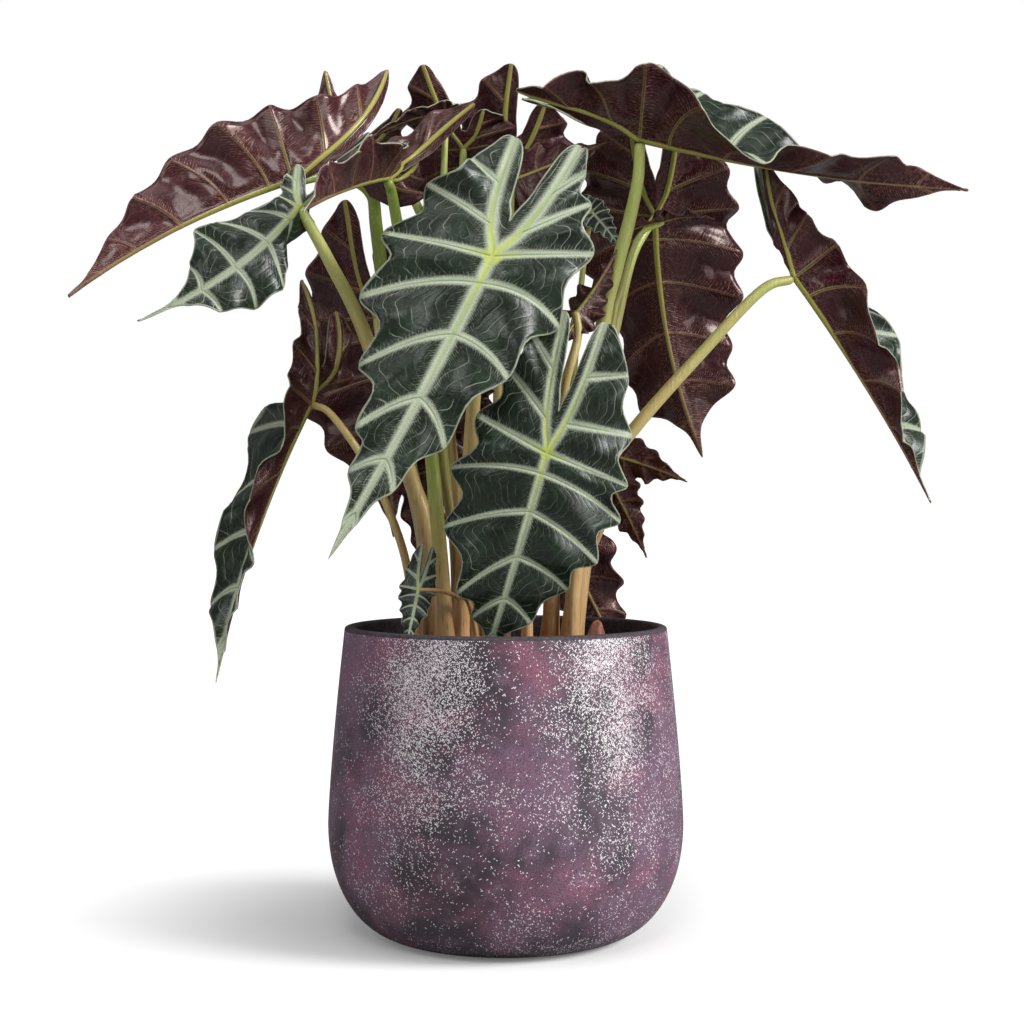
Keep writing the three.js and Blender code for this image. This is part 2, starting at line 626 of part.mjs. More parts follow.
    face: [[-1, 0, 0.3], [-0.9, -0.3, 0.2], [-0.6, -0.8, 0]], sag: 0.035, lift: [24, 26],
    swing: [0, -6], width: [1.05, [0.4, 0.42, 0.42, 0.45]], fold: [[10, 30, 24, 12], [8, 28, 38, 0]],
    ripple: 0.036, lobes: [0.75, 1.1], edge: [[[0.1, -0.46], [0.15, -0.36], [0.16, -0.2],
      [0.2, -0.04], [0.42, 0.14], [0.29, 0.4], [0.2, 0.62], [0.13, 0.83], [0.02, 0.985], [0, 1.1]],
      [[0.1, -0.46], [0.22, -0.36], [0.31, -0.2], [0.36, -0.01], [0.335, 0.21], [0.265, 0.43],
      [0.18, 0.64], [0.095, 0.82], [0.02, 0.985], [0, 1.1]]], lobeFace: [-0.5, 0.85, 0],
      stem: [[-58, -16, 176],
      [-65, -18, 242], [-78, -26, 286], [-93, -32, 317], [-106, -36, 337], [-117, -36, 350]],
    scallop: 0.22,
    thick: [3, 2.2], rows: 3, columns: 2,
  },
  {
    name: "left_back",
    joint: [-91, 44, 419], tip: [-79, 44, 265], face: [0, 1, 0.1], width: [1, [1, 1.1, 1.7, 1.7]],
    fold: [10, 10], ripple: 0.03, lobes: [0.8, 1.3], splay: [-0.1, 0], scallop: 0.12,
    stem: [[-56, 14, 176], [-57, 24, 250], [-66, 28, 300], [-82, 32, 360]], thick: [4.5, 2.5],
    rows: 2, columns: 2,
  },
  {
    name: "right_low",
    joint: [65, 29, 325], tip: [125, 15, 304], face: [0.3, 0.9, 0.3], width: 1.1, fold: [10, 0],
    ripple: 0.05, lobes: 0.6, stem: [[48, 28, 176], [56, 28, 240], [66, 27, 300]], thick: [3, 1.8],
    rows: 2, columns: 2,
  },
  {
    name: "right_low_curled",
    joint: [73, 41, 304], tip: [99, 45, 251], face: [0.2, 1, 0.2], fold: [10, 20], ripple: 0.05,
    stem: [[38, 32, 176], [50, 36, 230], [70, 38, 280]], thick: [3, 1.8], rows: 2, columns: 2,
  },
  {
    name: "right_back_low",
    joint: [40, 105, 262], tip: [98, 134, 146], face: [0, 1, 0.3], width: 0.85, fold: [10, 10],
    ripple: 0.04, stem: [[30, 58, 176], [34, 68, 220], [38, 92, 250]], thick: [3.5, 2],
    rows: 2, columns: 2,
  },
  {
    name: "front_low_tiny",
    joint: [-56, -64, 234], tip: [-64, -66, 196], face: [0.1, -1, 0.2], fold: [-10, -20], ripple: 0.05,
    lobes: 1.9, stem: [[-14, -34, 176], [-23, -40, 221], [-32, -52, 229], [-42, -60, 233],
      [-52, -63, 234]], thick: [2, 1], rows: 2, columns: 1,
  },
  {
    name: "centre_top_tiny",
    joint: [59, 20, 490], tip: [80, 15, 463], face: [0, -1, 0.2], fold: [10, 10], ripple: 0.05,
    stem: [[22, 26, 176], [40, 24, 300], [52, 22, 440]], thick: [3, 1.6], rows: 2, columns: 1,
  },
  {
    name: "centre_back_small",
    joint: [-24, -10, 362], tip: [-19, -5, 312], face: [0, 1, 0.2], fold: [10, 10], ripple: 0.05,
    stem: [[-14, -10, 176], [-16, -10, 250], [-22, -12, 330]], thick: [3, 1.6], rows: 2, columns: 1,
  },
  {
    name: "left_back_low",
    joint: [-52, 72, 341], tip: [-62, 74, 232], face: [0, 1, 0.1], fold: [10, 10], ripple: 0.04,
    stem: [[-46, 34, 176], [-46, 42, 250], [-49, 60, 310]], thick: [3.5, 1.8], rows: 2, columns: 2,
  },
  {
    name: "centre_top",
    joint: [4, -28, 503], tip: [69, -24, 530], face: [0, 1, 0.1], lobes: 0.45, fold: [10, 10],
    width: [1, 1, 1.3, 2.6],
    stem: [[0, -2, 176], [0, -6, 300], [2, -20, 420]], thick: [3.5, 2], rows: 2, columns: 2,
  },
];

const soilParts = [makeSoil()];
for (const leaf of LEAVES) {
  const shape = leafShape(leaf);
  const sheet = leafSheet(shape, leaf.rows ?? 3, leaf.columns ?? 3);
  const small = Math.min(1, shape.length / 90);
  const half = BLADE_HALF * (0.8 + 0.2 * small);
  const blade = largest(thicken(sheet, half, RIB_HALF * small, leaf.shift ?? 0));
  const clear = thicken(sheet, half, RIB_HALF * small, leaf.shift ?? 0, GAP).add(blade);
  const foot = [leaf.stem[0][0], leaf.stem[0][1], SOIL_TOP - STALK_DEPTH];
  const last = leaf.stem[leaf.stem.length - 1];
  const end = add(leaf.joint, mul(unit(sub(leaf.joint, last)), 3));
  const way = [foot, ...leaf.stem.slice(1), leaf.joint];
  const path = throughPoints(way, STALK_STEPS);
  path[path.length - 1] = end;
  const stalk = largest(solid(tube(path, leaf.thick[0], leaf.thick[1], STALK_SIDES)).subtract(clear));
  const deeper = [sub(path[0], [0, 0, GAP]), ...path.slice(1)];
  const hole = solid(tube(deeper, leaf.thick[0] + GAP, leaf.thick[1] + GAP, STALK_SIDES));
  soilParts.push(hole);
  addPiece("leaf_" + leaf.name + "_blade", blade, 0x31583a, 0.4);
  addPiece("leaf_" + leaf.name + "_stalk", stalk, 0xa8a54c, 0.5);
}

const scale = thicken(scaleSheet(), BLADE_HALF, 0);
for (const way of [[GAP, 0, 0], [-GAP, 0, 0], [0, GAP, 0], [0, -GAP, 0], [0, 0, -GAP]]) {
  soilParts.push(scale.translate(way));
}
addPiece("dry_sheath_scale", scale, 0x7a4a38, 0.8);

addPiece("soil", largest(wasm.Manifold.difference(soilParts)), 0x3a2a20, 0.95);
addPiece("pot", makePot(), 0x8a7080, 0.6);

export default group;
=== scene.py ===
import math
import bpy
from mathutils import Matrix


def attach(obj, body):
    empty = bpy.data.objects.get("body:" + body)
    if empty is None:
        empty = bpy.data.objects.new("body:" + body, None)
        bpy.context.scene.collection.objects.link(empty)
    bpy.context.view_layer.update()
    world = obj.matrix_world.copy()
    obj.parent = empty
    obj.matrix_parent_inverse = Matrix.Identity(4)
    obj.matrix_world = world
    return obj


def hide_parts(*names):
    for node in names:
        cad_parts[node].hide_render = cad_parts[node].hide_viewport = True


bl_info = {
    "name": "Potted African mask plant",
    "version": (1, 0, 0),
    "blender": (4, 5, 0),
    "location": "3D View > Sidebar > Mask Plant",
    "description": "Pot, soil, stalks and veined leaves of a potted African mask plant",
    "category": "Add Mesh",
}

import bmesh
import bpy
import numpy as np
from mathutils import Vector, noise

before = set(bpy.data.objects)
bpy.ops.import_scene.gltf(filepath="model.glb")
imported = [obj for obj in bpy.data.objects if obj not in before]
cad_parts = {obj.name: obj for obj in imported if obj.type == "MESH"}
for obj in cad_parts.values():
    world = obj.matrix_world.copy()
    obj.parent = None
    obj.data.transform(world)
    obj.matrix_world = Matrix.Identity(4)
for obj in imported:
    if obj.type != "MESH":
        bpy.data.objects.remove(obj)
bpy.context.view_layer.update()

MM = 0.001
# A flat leaf is kept in centimetres, for the patterns on it.
CM = 0.1

# The pot, in millimetres: a flat foot, a round belly, and sides that lean in to the rim.
POT_HEIGHT = 207
POT_RIM_RADIUS = 109
POT_BELLY_RADIUS = 120
POT_BELLY_HEIGHT = 75
POT_FOOT_RADIUS = 70
POT_WALL = 7
POT_FLOOR = 9
POT_CORNER_POWER = 2.1
POT_LEAN_POWER = 1.3
POT_RIM_ROUNDING = 2.6
POT_FLOOR_RADIUS = 84
POT_FLOOR_CORNER = 12
SOIL_TOP = 180
SOIL_GAP = 0.9
SOIL_SINK = 3.5
SOIL_DEPTH = 16
STALK_DEPTH = 13

# Half a leaf laid flat, in blade lengths. Row u of RIB is where side vein u leaves the midrib or the
# rib of a back lobe, and row u of EDGE is where it meets the margin. u runs from -3 to 6.
FIRST_VEIN = -3
LAST_VEIN = 6
RIB = [
    (0.1, -0.46), (0.083, -0.27), (0.05, -0.11), (0, 0), (0, 0.1),
    (0, 0.29), (0, 0.52), (0, 0.74), (0, 0.93), (0, 1.1),
]
EDGE = [
    (0.1, -0.46), (0.22, -0.36), (0.31, -0.2), (0.36, -0.01), (0.335, 0.21),
    (0.265, 0.43), (0.18, 0.64), (0.095, 0.82), (0.02, 0.985), (0, 1.1),
]
LOBE_TURN = (-0.03, -0.4)
WEB = 0.145
LOBE = 0.46
TIP = 1.1

# What a leaf is when its own entry doesn't say otherwise.
PLAIN_LEAF = {
    "sag": 0.08, "sweep": 0, "lift": 0, "swing": 0, "width": 1, "fold": 0, "curl": 0,
    "ripple": 0.02, "lobes": 1, "splay": (0, 0), "scallop": 0.2, "edge": (None, None),
    "lobeFace": None, "quilt": 0.012, "shift": 0, "tone": 0.4, "maroon": False, "green": 0.15,
    "gloss_and_painted_sheen": 0.1,
}

# The leaves, in millimetres and degrees. joint is where the stalk meets the blade, tip is the end of the
# drip tip, and face is where the upper side looks at the joint, the middle and the tip. stem lists the
# stalk's way up from the soil, and thick is its radius at the soil and at the blade. sag and sweep bow
# the midrib, fold and curl lift each half, lift and swing turn the back lobes, and shift moves a blade
# up (-1) or down (1) by half its thickness. tone and green tint the stalk and the ribs, gloss wets the
# lower side and also paints its maroon lighter, a painted sheen, and a maroon leaf shows that side both
# ways.
LEAVES = [
    {"name": "front_upper", "joint": [-8, -100, 443], "tip": [-107, -135, 255], "face": [0.05, -1, 0.15],
     "sag": 0.04, "sweep": -0.015, "fold": [4, 0],
     "curl": [[-10, -15, -10], [-15, -25, -10]], "ripple": 0.03, "lobes": [0.9, 1.06],
     "edge": [[[0.12, -0.46], [0.2, -0.31], [0.3, -0.17], [0.355, 0.07], [0.32, 0.31], [0.22, 0.515],
         [0.13, 0.7], [0.085, 0.83], [0.02, 0.98], [0, 1.1]], [[0.11, -0.47], [0.155, -0.39],
         [0.22, -0.32], [0.29, -0.16], [0.31, 0.085], [0.215, 0.34], [0.145, 0.62], [0.07, 0.82],
         [0.02, 0.97], [0, 1.1]]], "stem": [[-30, -22, 176], [-28, -26, 250], [-18, -50, 390]],
     "thick": [6, 3.5]},
    {"name": "front_lower", "joint": [26, -85, 321], "tip": [-14, -60, 186], "face": [0.1, -1, 0.1],
     "sag": 0.06, "curl": -10, "ripple": 0.03, "lobes": 1.5,
     "edge": [[[0.1, -0.46], [0.24, -0.37], [0.32, -0.25], [0.38, -0.06], [0.43, 0.19], [0.39, 0.49],
         [0.23, 0.78], [0.125, 0.89], [0.03, 0.99], [0, 1.1]], [[0.14, -0.46], [0.285, -0.32],
         [0.4, -0.135], [0.43, 0.04], [0.465, 0.225], [0.39, 0.45], [0.3, 0.63], [0.16, 0.83],
         [0.03, 0.99], [0, 1.1]]], "stem": [[30, -8, 176], [31, -14, 230], [34, -50, 300]],
     "thick": [6.5, 3.5]},
    {"name": "left_arching", "shift": 1, "joint": [-137, -60, 497], "tip": [-272, -100, 418],
     "face": [0, 0.7, 0.7], "lift": [20, 40], "width": [0.7, [0.8, 0.97, 1.1, 1.15]], "fold": [80, 45],
     "ripple": 0.03, "lobes": [1, 1.75], "scallop": 0.08,
     "stem": [[-40, 16, 176], [-53, 12, 251], [-74, 8, 360], [-86, -12, 468], [-90, -30, 495],
         [-113, -44, 503]], "thick": [6, 2.8], "tone": 0.95, "green": 0.9,
     "gloss_and_painted_sheen": 0.55},
    {"name": "left_facing", "shift": -1, "joint": [-131, -72, 478], "tip": [-226, -112, 401],
     "face": [0, -1, 0.1], "sweep": -0.09, "lift": [14, 0], "scallop": 0.1,
     "width": [1, [0.4, 0.5, 1.1, 1.3]], "fold": [0, [-75, -70, -20, 0]], "ripple": 0.03,
     "edge": [[[0.1, -0.46], [0.15, -0.33], [0.16, -0.18], [0.13, 0], [0.19, 0.2], [0.27, 0.4],
         [0.29, 0.57], [0.14, 0.72], [0.03, 0.88], [0, 1.1]], [[0.1, -0.46], [0.22, -0.36],
         [0.31, -0.2], [0.34, -0.01], [0.22, 0.2], [0.24, 0.38], [0.22, 0.55], [0.13, 0.72],
         [0.02, 0.86], [0, 1.1]]], "lobes": [0.58, 0.6],
     "stem": [[-47, -4, 176], [-53, -4, 265], [-66, -6, 312], [-93, -30, 401], [-114, -54, 446]],
     "swing": [12, 0], "thick": [7, 3.3]},
    {"name": "left_folded", "shift": 1, "joint": [-75, -70, 498], "tip": [-114, -200, 455],
     "face": [0, 0, 1], "sag": 0.02, "lift": [15, 25], "swing": [0, 32],
     "width": [0.6, [0.9, 0.5, 0.95, 1.9]], "fold": [[20, 10, 30, 50], [-10, 50, 65, 85]],
     "ripple": 0.03, "lobes": [0.7, 1.47], "lobeFace": [-0.24, 0.79, -0.36],
     "stem": [[-36, -38, 176], [-44, -36, 268], [-53, -38, 358], [-71, -55, 476]], "thick": [5.5, 3],
     "tone": 0.7, "green": 0.9, "gloss_and_painted_sheen": 0.25},
    {"name": "back_left_top", "joint": [-106, 60, 544], "tip": [-125, 170, 536], "face": [0, 0, 1],
     "lift": [45, 75], "width": 0.8, "fold": 10, "lobes": [0.8, 1.15],
     "lobeFace": [0, 1, 0.3], "splay": [0.5, 0.45],
     "stem": [[-34, 32, 176], [-35, 34, 255], [-45, 32, 333], [-52, 34, 457], [-62, 36, 497],
         [-79, 48, 518]], "thick": [4.5, 2.8], "tone": 0.5, "green": 0.6,
     "gloss_and_painted_sheen": 0.5},
    {"name": "back_top_small", "joint": [-40, -14, 551], "tip": [-94, -16, 531], "face": [0, 0.3, 1],
     "width": 0.6, "lobes": 0.55, "fold": 10, "ripple": 0.03,
     "stem": [[-20, 24, 176], [-34, 18, 300], [-42, -4, 400], [-42, -16, 480]], "thick": [3.5, 2]},
    {"name": "back_top_left", "joint": [-29, 10, 531], "tip": [-18, 40, 411], "face": [0, 1, 0.2],
     "fold": 10, "ripple": 0.03, "lobes": [0.5, 1.15], "splay": [0.1, 0.2],
     "stem": [[-20, 6, 176], [-24, 6, 300], [-30, 0, 450]], "thick": [4.5, 2.5],
     "tone": 0.6},
    {"name": "back_top_middle", "joint": [3, 60, 530], "tip": [-34, 70, 371], "face": [0, 1, 0.1],
     "fold": 10, "ripple": 0.03, "lobes": [0.7, 1],
     "stem": [[-6, 40, 176], [-6, 40, 300], [-4, 46, 450]], "thick": [4.5, 2.5],
     "tone": 0.6},
    {"name": "right_arching", "shift": 1, "joint": [88, -40, 528], "tip": [298, -60, 491],
     "face": [[0, -0.1, 1], [0, 0, 1], [0, 1, 0.2]], "sag": -0.025, "lift": [5, 3],
     "width": [[1, 1, 1, 0.9], 1], "fold": [[8, 38, 0, -14], [15, 50, 39, 6]], "ripple": 0.042,
     "scallop": 0.24, "lobes": 0.95,
     "stem": [[44, -2, 176], [49, -2, 224], [57, -6, 305], [65, -14, 407], [73, -20, 443],
         [81, -26, 473], [87, -34, 502]],
     "edge": [[[0.1, -0.46], [0.22, -0.36], [0.31, -0.2], [0.37, -0.03], [0.28, 0.19], [0.25, 0.42],
         [0.18, 0.63], [0.14, 0.83], [0.05, 0.97], [0, 1.1]], [[0.1, -0.46], [0.22, -0.36],
         [0.31, -0.2], [0.36, -0.01], [0.39, 0.16], [0.3, 0.4], [0.2, 0.62], [0.12, 0.82],
         [0.02, 0.985], [0, 1.1]]], "thick": [6.5, 3.5], "tone": 0.95},
    {"name": "right_hanging", "joint": [105, 45, 491], "tip": [141, 70, 322], "face": [0, 1, 0.1],
     "sweep": -0.045, "width": [[1.05, 1.05, 1.4, 2], [1.2, 1.15, 0.95, 1.6]], "fold": [10, 30],
     "ripple": 0.036, "scallop": 0.1,
     "stem": [[46, 14, 176], [50, 16, 245], [60, 14, 300], [65, 14, 360], [76, 18, 413], [88, 26, 461]],
     "edge": [[[0.1, -0.46], [0.22, -0.36], [0.31, -0.2], [0.36, -0.01], [0.335, 0.21], [0.265, 0.43],
         [0.19, 0.65], [0.13, 0.84], [0.03, 0.95], [0, 1.1]], [[0.1, -0.46], [0.22, -0.36],
         [0.31, -0.2], [0.36, -0.01], [0.335, 0.21], [0.3, 0.43], [0.24, 0.65], [0.15, 0.84],
         [0.03, 0.95], [0, 1.1]]], "thick": [5, 2.8], "tone": 0.7, "gloss_and_painted_sheen": 0.2},
    {"name": "right_inner_small", "maroon": True, "shift": 1, "joint": [107, 0, 481], "tip": [141, -8, 481],
     "face": [0, -0.2, 1], "fold": [30, 36], "ripple": 0.08, "lobes": 1.5,
     "stem": [[36, 10, 176], [46, 8, 240], [61, 4, 300], [72, 4, 407], [79, 4, 436], [90, 2, 470]],
     "thick": [3, 1.5], "tone": 0.5},
    {"name": "centre_bud", "shift": 1, "joint": [47, -40, 415], "tip": [74, -30, 457],
     "face": [0.5, 0.8, 0.3], "fold": 36, "ripple": 0.08,
     "stem": [[14, -22, 176], [16, -24, 252], [30, -36, 324], [39, -46, 368], [47, -44, 397]],
     "thick": [4, 2.6]},
    {"name": "right_folded", "shift": 1, "joint": [193, -20, 440], "tip": [282, -30, 290],
     "face": [0.86, 0, 0.51], "sag": 0.02, "lift": [16, 12],
     "width": [[0.5, 0.62, 0.8, 0.6], [0.6, 0.5, 1.05, 2.6]],
     "fold": [[65, 72, 38, 25], [70, 75, 60, 32]], "scallop": 0.12, "ripple": 0.045, "lobes": [1.1, 1.2],
     "stem": [[44, -18, 176], [46, -20, 240], [62, -22, 305], [88, -22, 342], [129, -24, 388],
         [169, -26, 430]], "thick": [5.5, 3], "tone": 0.9},
    {"name": "left_hanging", "joint": [-129, -30, 355], "tip": [-187, -60, 174],
     "face": [[-1, 0, 0.3], [-0.9, -0.3, 0.2], [-0.6, -0.8, 0]], "sag": 0.035, "lift": [24, 26],
     "swing": [0, -6], "width": [1.05, [0.4, 0.42, 0.42, 0.45]],
     "fold": [[10, 30, 24, 12], [8, 28, 38, 0]], "ripple": 0.036, "lobes": [0.75, 1.1],
     "edge": [[[0.1, -0.46], [0.15, -0.36], [0.16, -0.2], [0.2, -0.04], [0.42, 0.14], [0.29, 0.4],
         [0.2, 0.62], [0.13, 0.83], [0.02, 0.985], [0, 1.1]], None], "lobeFace": [-0.5, 0.85, 0],
     "stem": [[-58, -16, 176], [-65, -18, 242], [-78, -26, 286], [-93, -32, 317], [-106, -36, 337],
         [-117, -36, 350]], "scallop": 0.22, "thick": [3, 2.2]},
    {"name": "left_back", "joint": [-91, 44, 419], "tip": [-79, 44, 265], "face": [0, 1, 0.1],
     "width": [1, [1, 1.1, 1.7, 1.7]], "fold": 10, "ripple": 0.03, "lobes": [0.8, 1.3],
     "splay": [-0.1, 0], "scallop": 0.12,
     "stem": [[-56, 14, 176], [-57, 24, 250], [-66, 28, 300], [-82, 32, 360]], "thick": [4.5, 2.5]},
    {"name": "right_low", "joint": [65, 29, 325], "tip": [125, 15, 304], "face": [0.3, 0.9, 0.3],
     "width": 1.1, "fold": [10, 0], "ripple": 0.05, "lobes": 0.6,
     "stem": [[48, 28, 176], [56, 28, 240], [66, 27, 300]], "thick": [3, 1.8]},
    {"name": "right_low_curled", "joint": [73, 41, 304], "tip": [99, 45, 251], "face": [0.2, 1, 0.2],
     "fold": [10, 20], "ripple": 0.05, "stem": [[38, 32, 176], [50, 36, 230], [70, 38, 280]],
     "thick": [3, 1.8]},
    {"name": "right_back_low", "joint": [40, 105, 262], "tip": [98, 134, 146], "face": [0, 1, 0.3],
     "width": 0.85, "fold": 10, "ripple": 0.04,
     "stem": [[30, 58, 176], [34, 68, 220], [38, 92, 250]], "thick": [3.5, 2]},
    {"name": "front_low_tiny", "joint": [-56, -64, 234], "tip": [-64, -66, 196], "face": [0.1, -1, 0.2],
     "fold": [-10, -20], "ripple": 0.05, "lobes": 1.9,
     "stem": [[-14, -34, 176], [-23, -40, 221], [-32, -52, 229], [-42, -60, 233], [-52, -63, 234]],
     "thick": [2, 1]},
    {"name": "centre_top_tiny", "joint": [59, 20, 490], "tip": [80, 15, 463], "face": [0, -1, 0.2],
     "fold": 10, "ripple": 0.05, "stem": [[22, 26, 176], [40, 24, 300], [52, 22, 440]],
     "thick": [3, 1.6]},
    {"name": "centre_back_small", "joint": [-24, -10, 362], "tip": [-19, -5, 312], "face": [0, 1, 0.2],
     "fold": 10, "ripple": 0.05, "stem": [[-14, -10, 176], [-16, -10, 250], [-22, -12, 330]],
     "thick": [3, 1.6]},
    {"name": "left_back_low", "joint": [-52, 72, 341], "tip": [-62, 74, 232], "face": [0, 1, 0.1],
     "fold": 10, "ripple": 0.04, "stem": [[-46, 34, 176], [-46, 42, 250], [-49, 60, 310]],
     "thick": [3.5, 1.8]},
    {"name": "centre_top", "joint": [4, -28, 503], "tip": [69, -24, 530], "face": [0, 1, 0.1],
     "lobes": 0.45, "fold": 10, "width": [1, 1, 1.3, 2.6],
     "stem": [[0, -2, 176], [0, -6, 300], [2, -20, 420]], "thick": [3.5, 2]},
]

# The dry scale of an old sheath, in millimetres and degrees.
SCALE_PLACE = (57, -62)
SCALE_RADIUS = 11
SCALE_SPREAD = 62
SCALE_TOP = 214
SCALE_FOOT = SOIL_TOP - 8
SCALE_LEAN = 0.22
SCALE_THICKNESS = 0.7


def unit(vectors):
    vectors = np.asarray(vectors, float)
    return vectors / np.maximum(np.linalg.norm(vectors, axis=-1, keepdims=True), 1e-12)


def ease(amount):
    amount = np.clip(amount, 0, 1)
    return amount * amount * (3 - 2 * amount)


def both_sides(value):
    return value if isinstance(value, (list, tuple)) else (value, value)


def curve_rows(table, place, before=None):
    """Points of a smooth curve through the rows of a table, at places counted from the first row."""
    table = np.asarray(table, float)
    before = 2 * table[0] - table[1] if before is None else np.asarray(before, float)
    rows = np.vstack([before, table, 2 * table[-1] - table[-2]])
    place = np.clip(place, 0, len(table) - 1)
    at = np.minimum(np.floor(place).astype(int), len(table) - 2)
    f = (place - at)[..., None]
    a, b, c, d = (rows[at + n] for n in range(4))
    turn = (2 * a - 5 * b + 4 * c - d) * f**2
    return 0.5 * (2 * b + (c - a) * f + turn + (3 * b - a - 3 * c + d) * f**3)


def flat_outer(u, w, scallop, edge):
    """The flat half leaf between its ribs (w 0) and its margin (w 1), in blade lengths."""
    foot = curve_rows(RIB, u - FIRST_VEIN)
    end = curve_rows(EDGE if edge is None else edge, u - FIRST_VEIN, LOBE_TURN)
    foot[..., 0] = np.where(u > 0, 0, foot[..., 0])
    notch = np.sin(np.pi * u) ** 2 * scallop
    notch = np.where(u > 5, 0, np.where(u < -2, notch * 0.3, notch))
    end = foot + (end - foot) * (1 - notch)[..., None]
    span = np.linalg.norm(end - foot, axis=-1)
    bow = np.where(u > 0, -0.05, 0) * np.minimum(1, span / 0.25) * np.minimum(1, np.abs(u))
    middle = (foot + end) / 2
    middle[..., 1] += bow
    w = w[..., None]
    return foot * (1 - w) ** 2 + 2 * middle * w * (1 - w) + end * w * w


def flat_inner(u, w):
    """The flat half leaf between the rib of its back lobe (w 0) and the cut between the lobes (w 1)."""
    foot = curve_rows(RIB, u - FIRST_VEIN)
    t = -u / 3
    k = np.clip((t - 0.25) / 0.75, 0, 1)[..., None]
    corners = np.array([(0, -WEB), (0.045, -0.25), (0.03, -LOBE), (0.1, -LOBE)])
    cut = (
        (1 - k) ** 3 * corners[0] + 3 * k * (1 - k) ** 2 * corners[1]
        + 3 * k * k * (1 - k) * corners[2] + k**3 * corners[3]
    )
    web = np.stack([0 * t, -WEB * t / 0.25], -1)
    end = np.where((t > 0.25)[..., None], cut, web)
    w = w[..., None]
    return foot * (1 - w) + end * w


def along_blade(value, y):
    """A value that changes along the blade, given at the lobes, the stalk, the middle and the tip."""
    if not isinstance(value, (list, tuple)):
        return np.full_like(y, value, dtype=float)
    v = value if len(value) == 4 else (value[0], value[1], (value[1] + value[2]) / 2, value[2])
    lobe = v[1] + (v[0] - v[1]) * ease(-y / LOBE)
    lower = v[1] + (v[2] - v[1]) * ease(y / 0.5)
    upper = v[2] + (v[3] - v[2]) * ease((y - 0.5) / 0.5)
    return np.where(y < 0, lobe, np.where(y < 0.5, lower, upper))


def arc(a, b, c, t):
    return a * (1 - t) ** 2 + 2 * b * t * (1 - t) + c * t * t


def arc_slope(a, b, c, t):
    return unit(2 * (b - a) * (1 - t) + 2 * (c - b) * t)


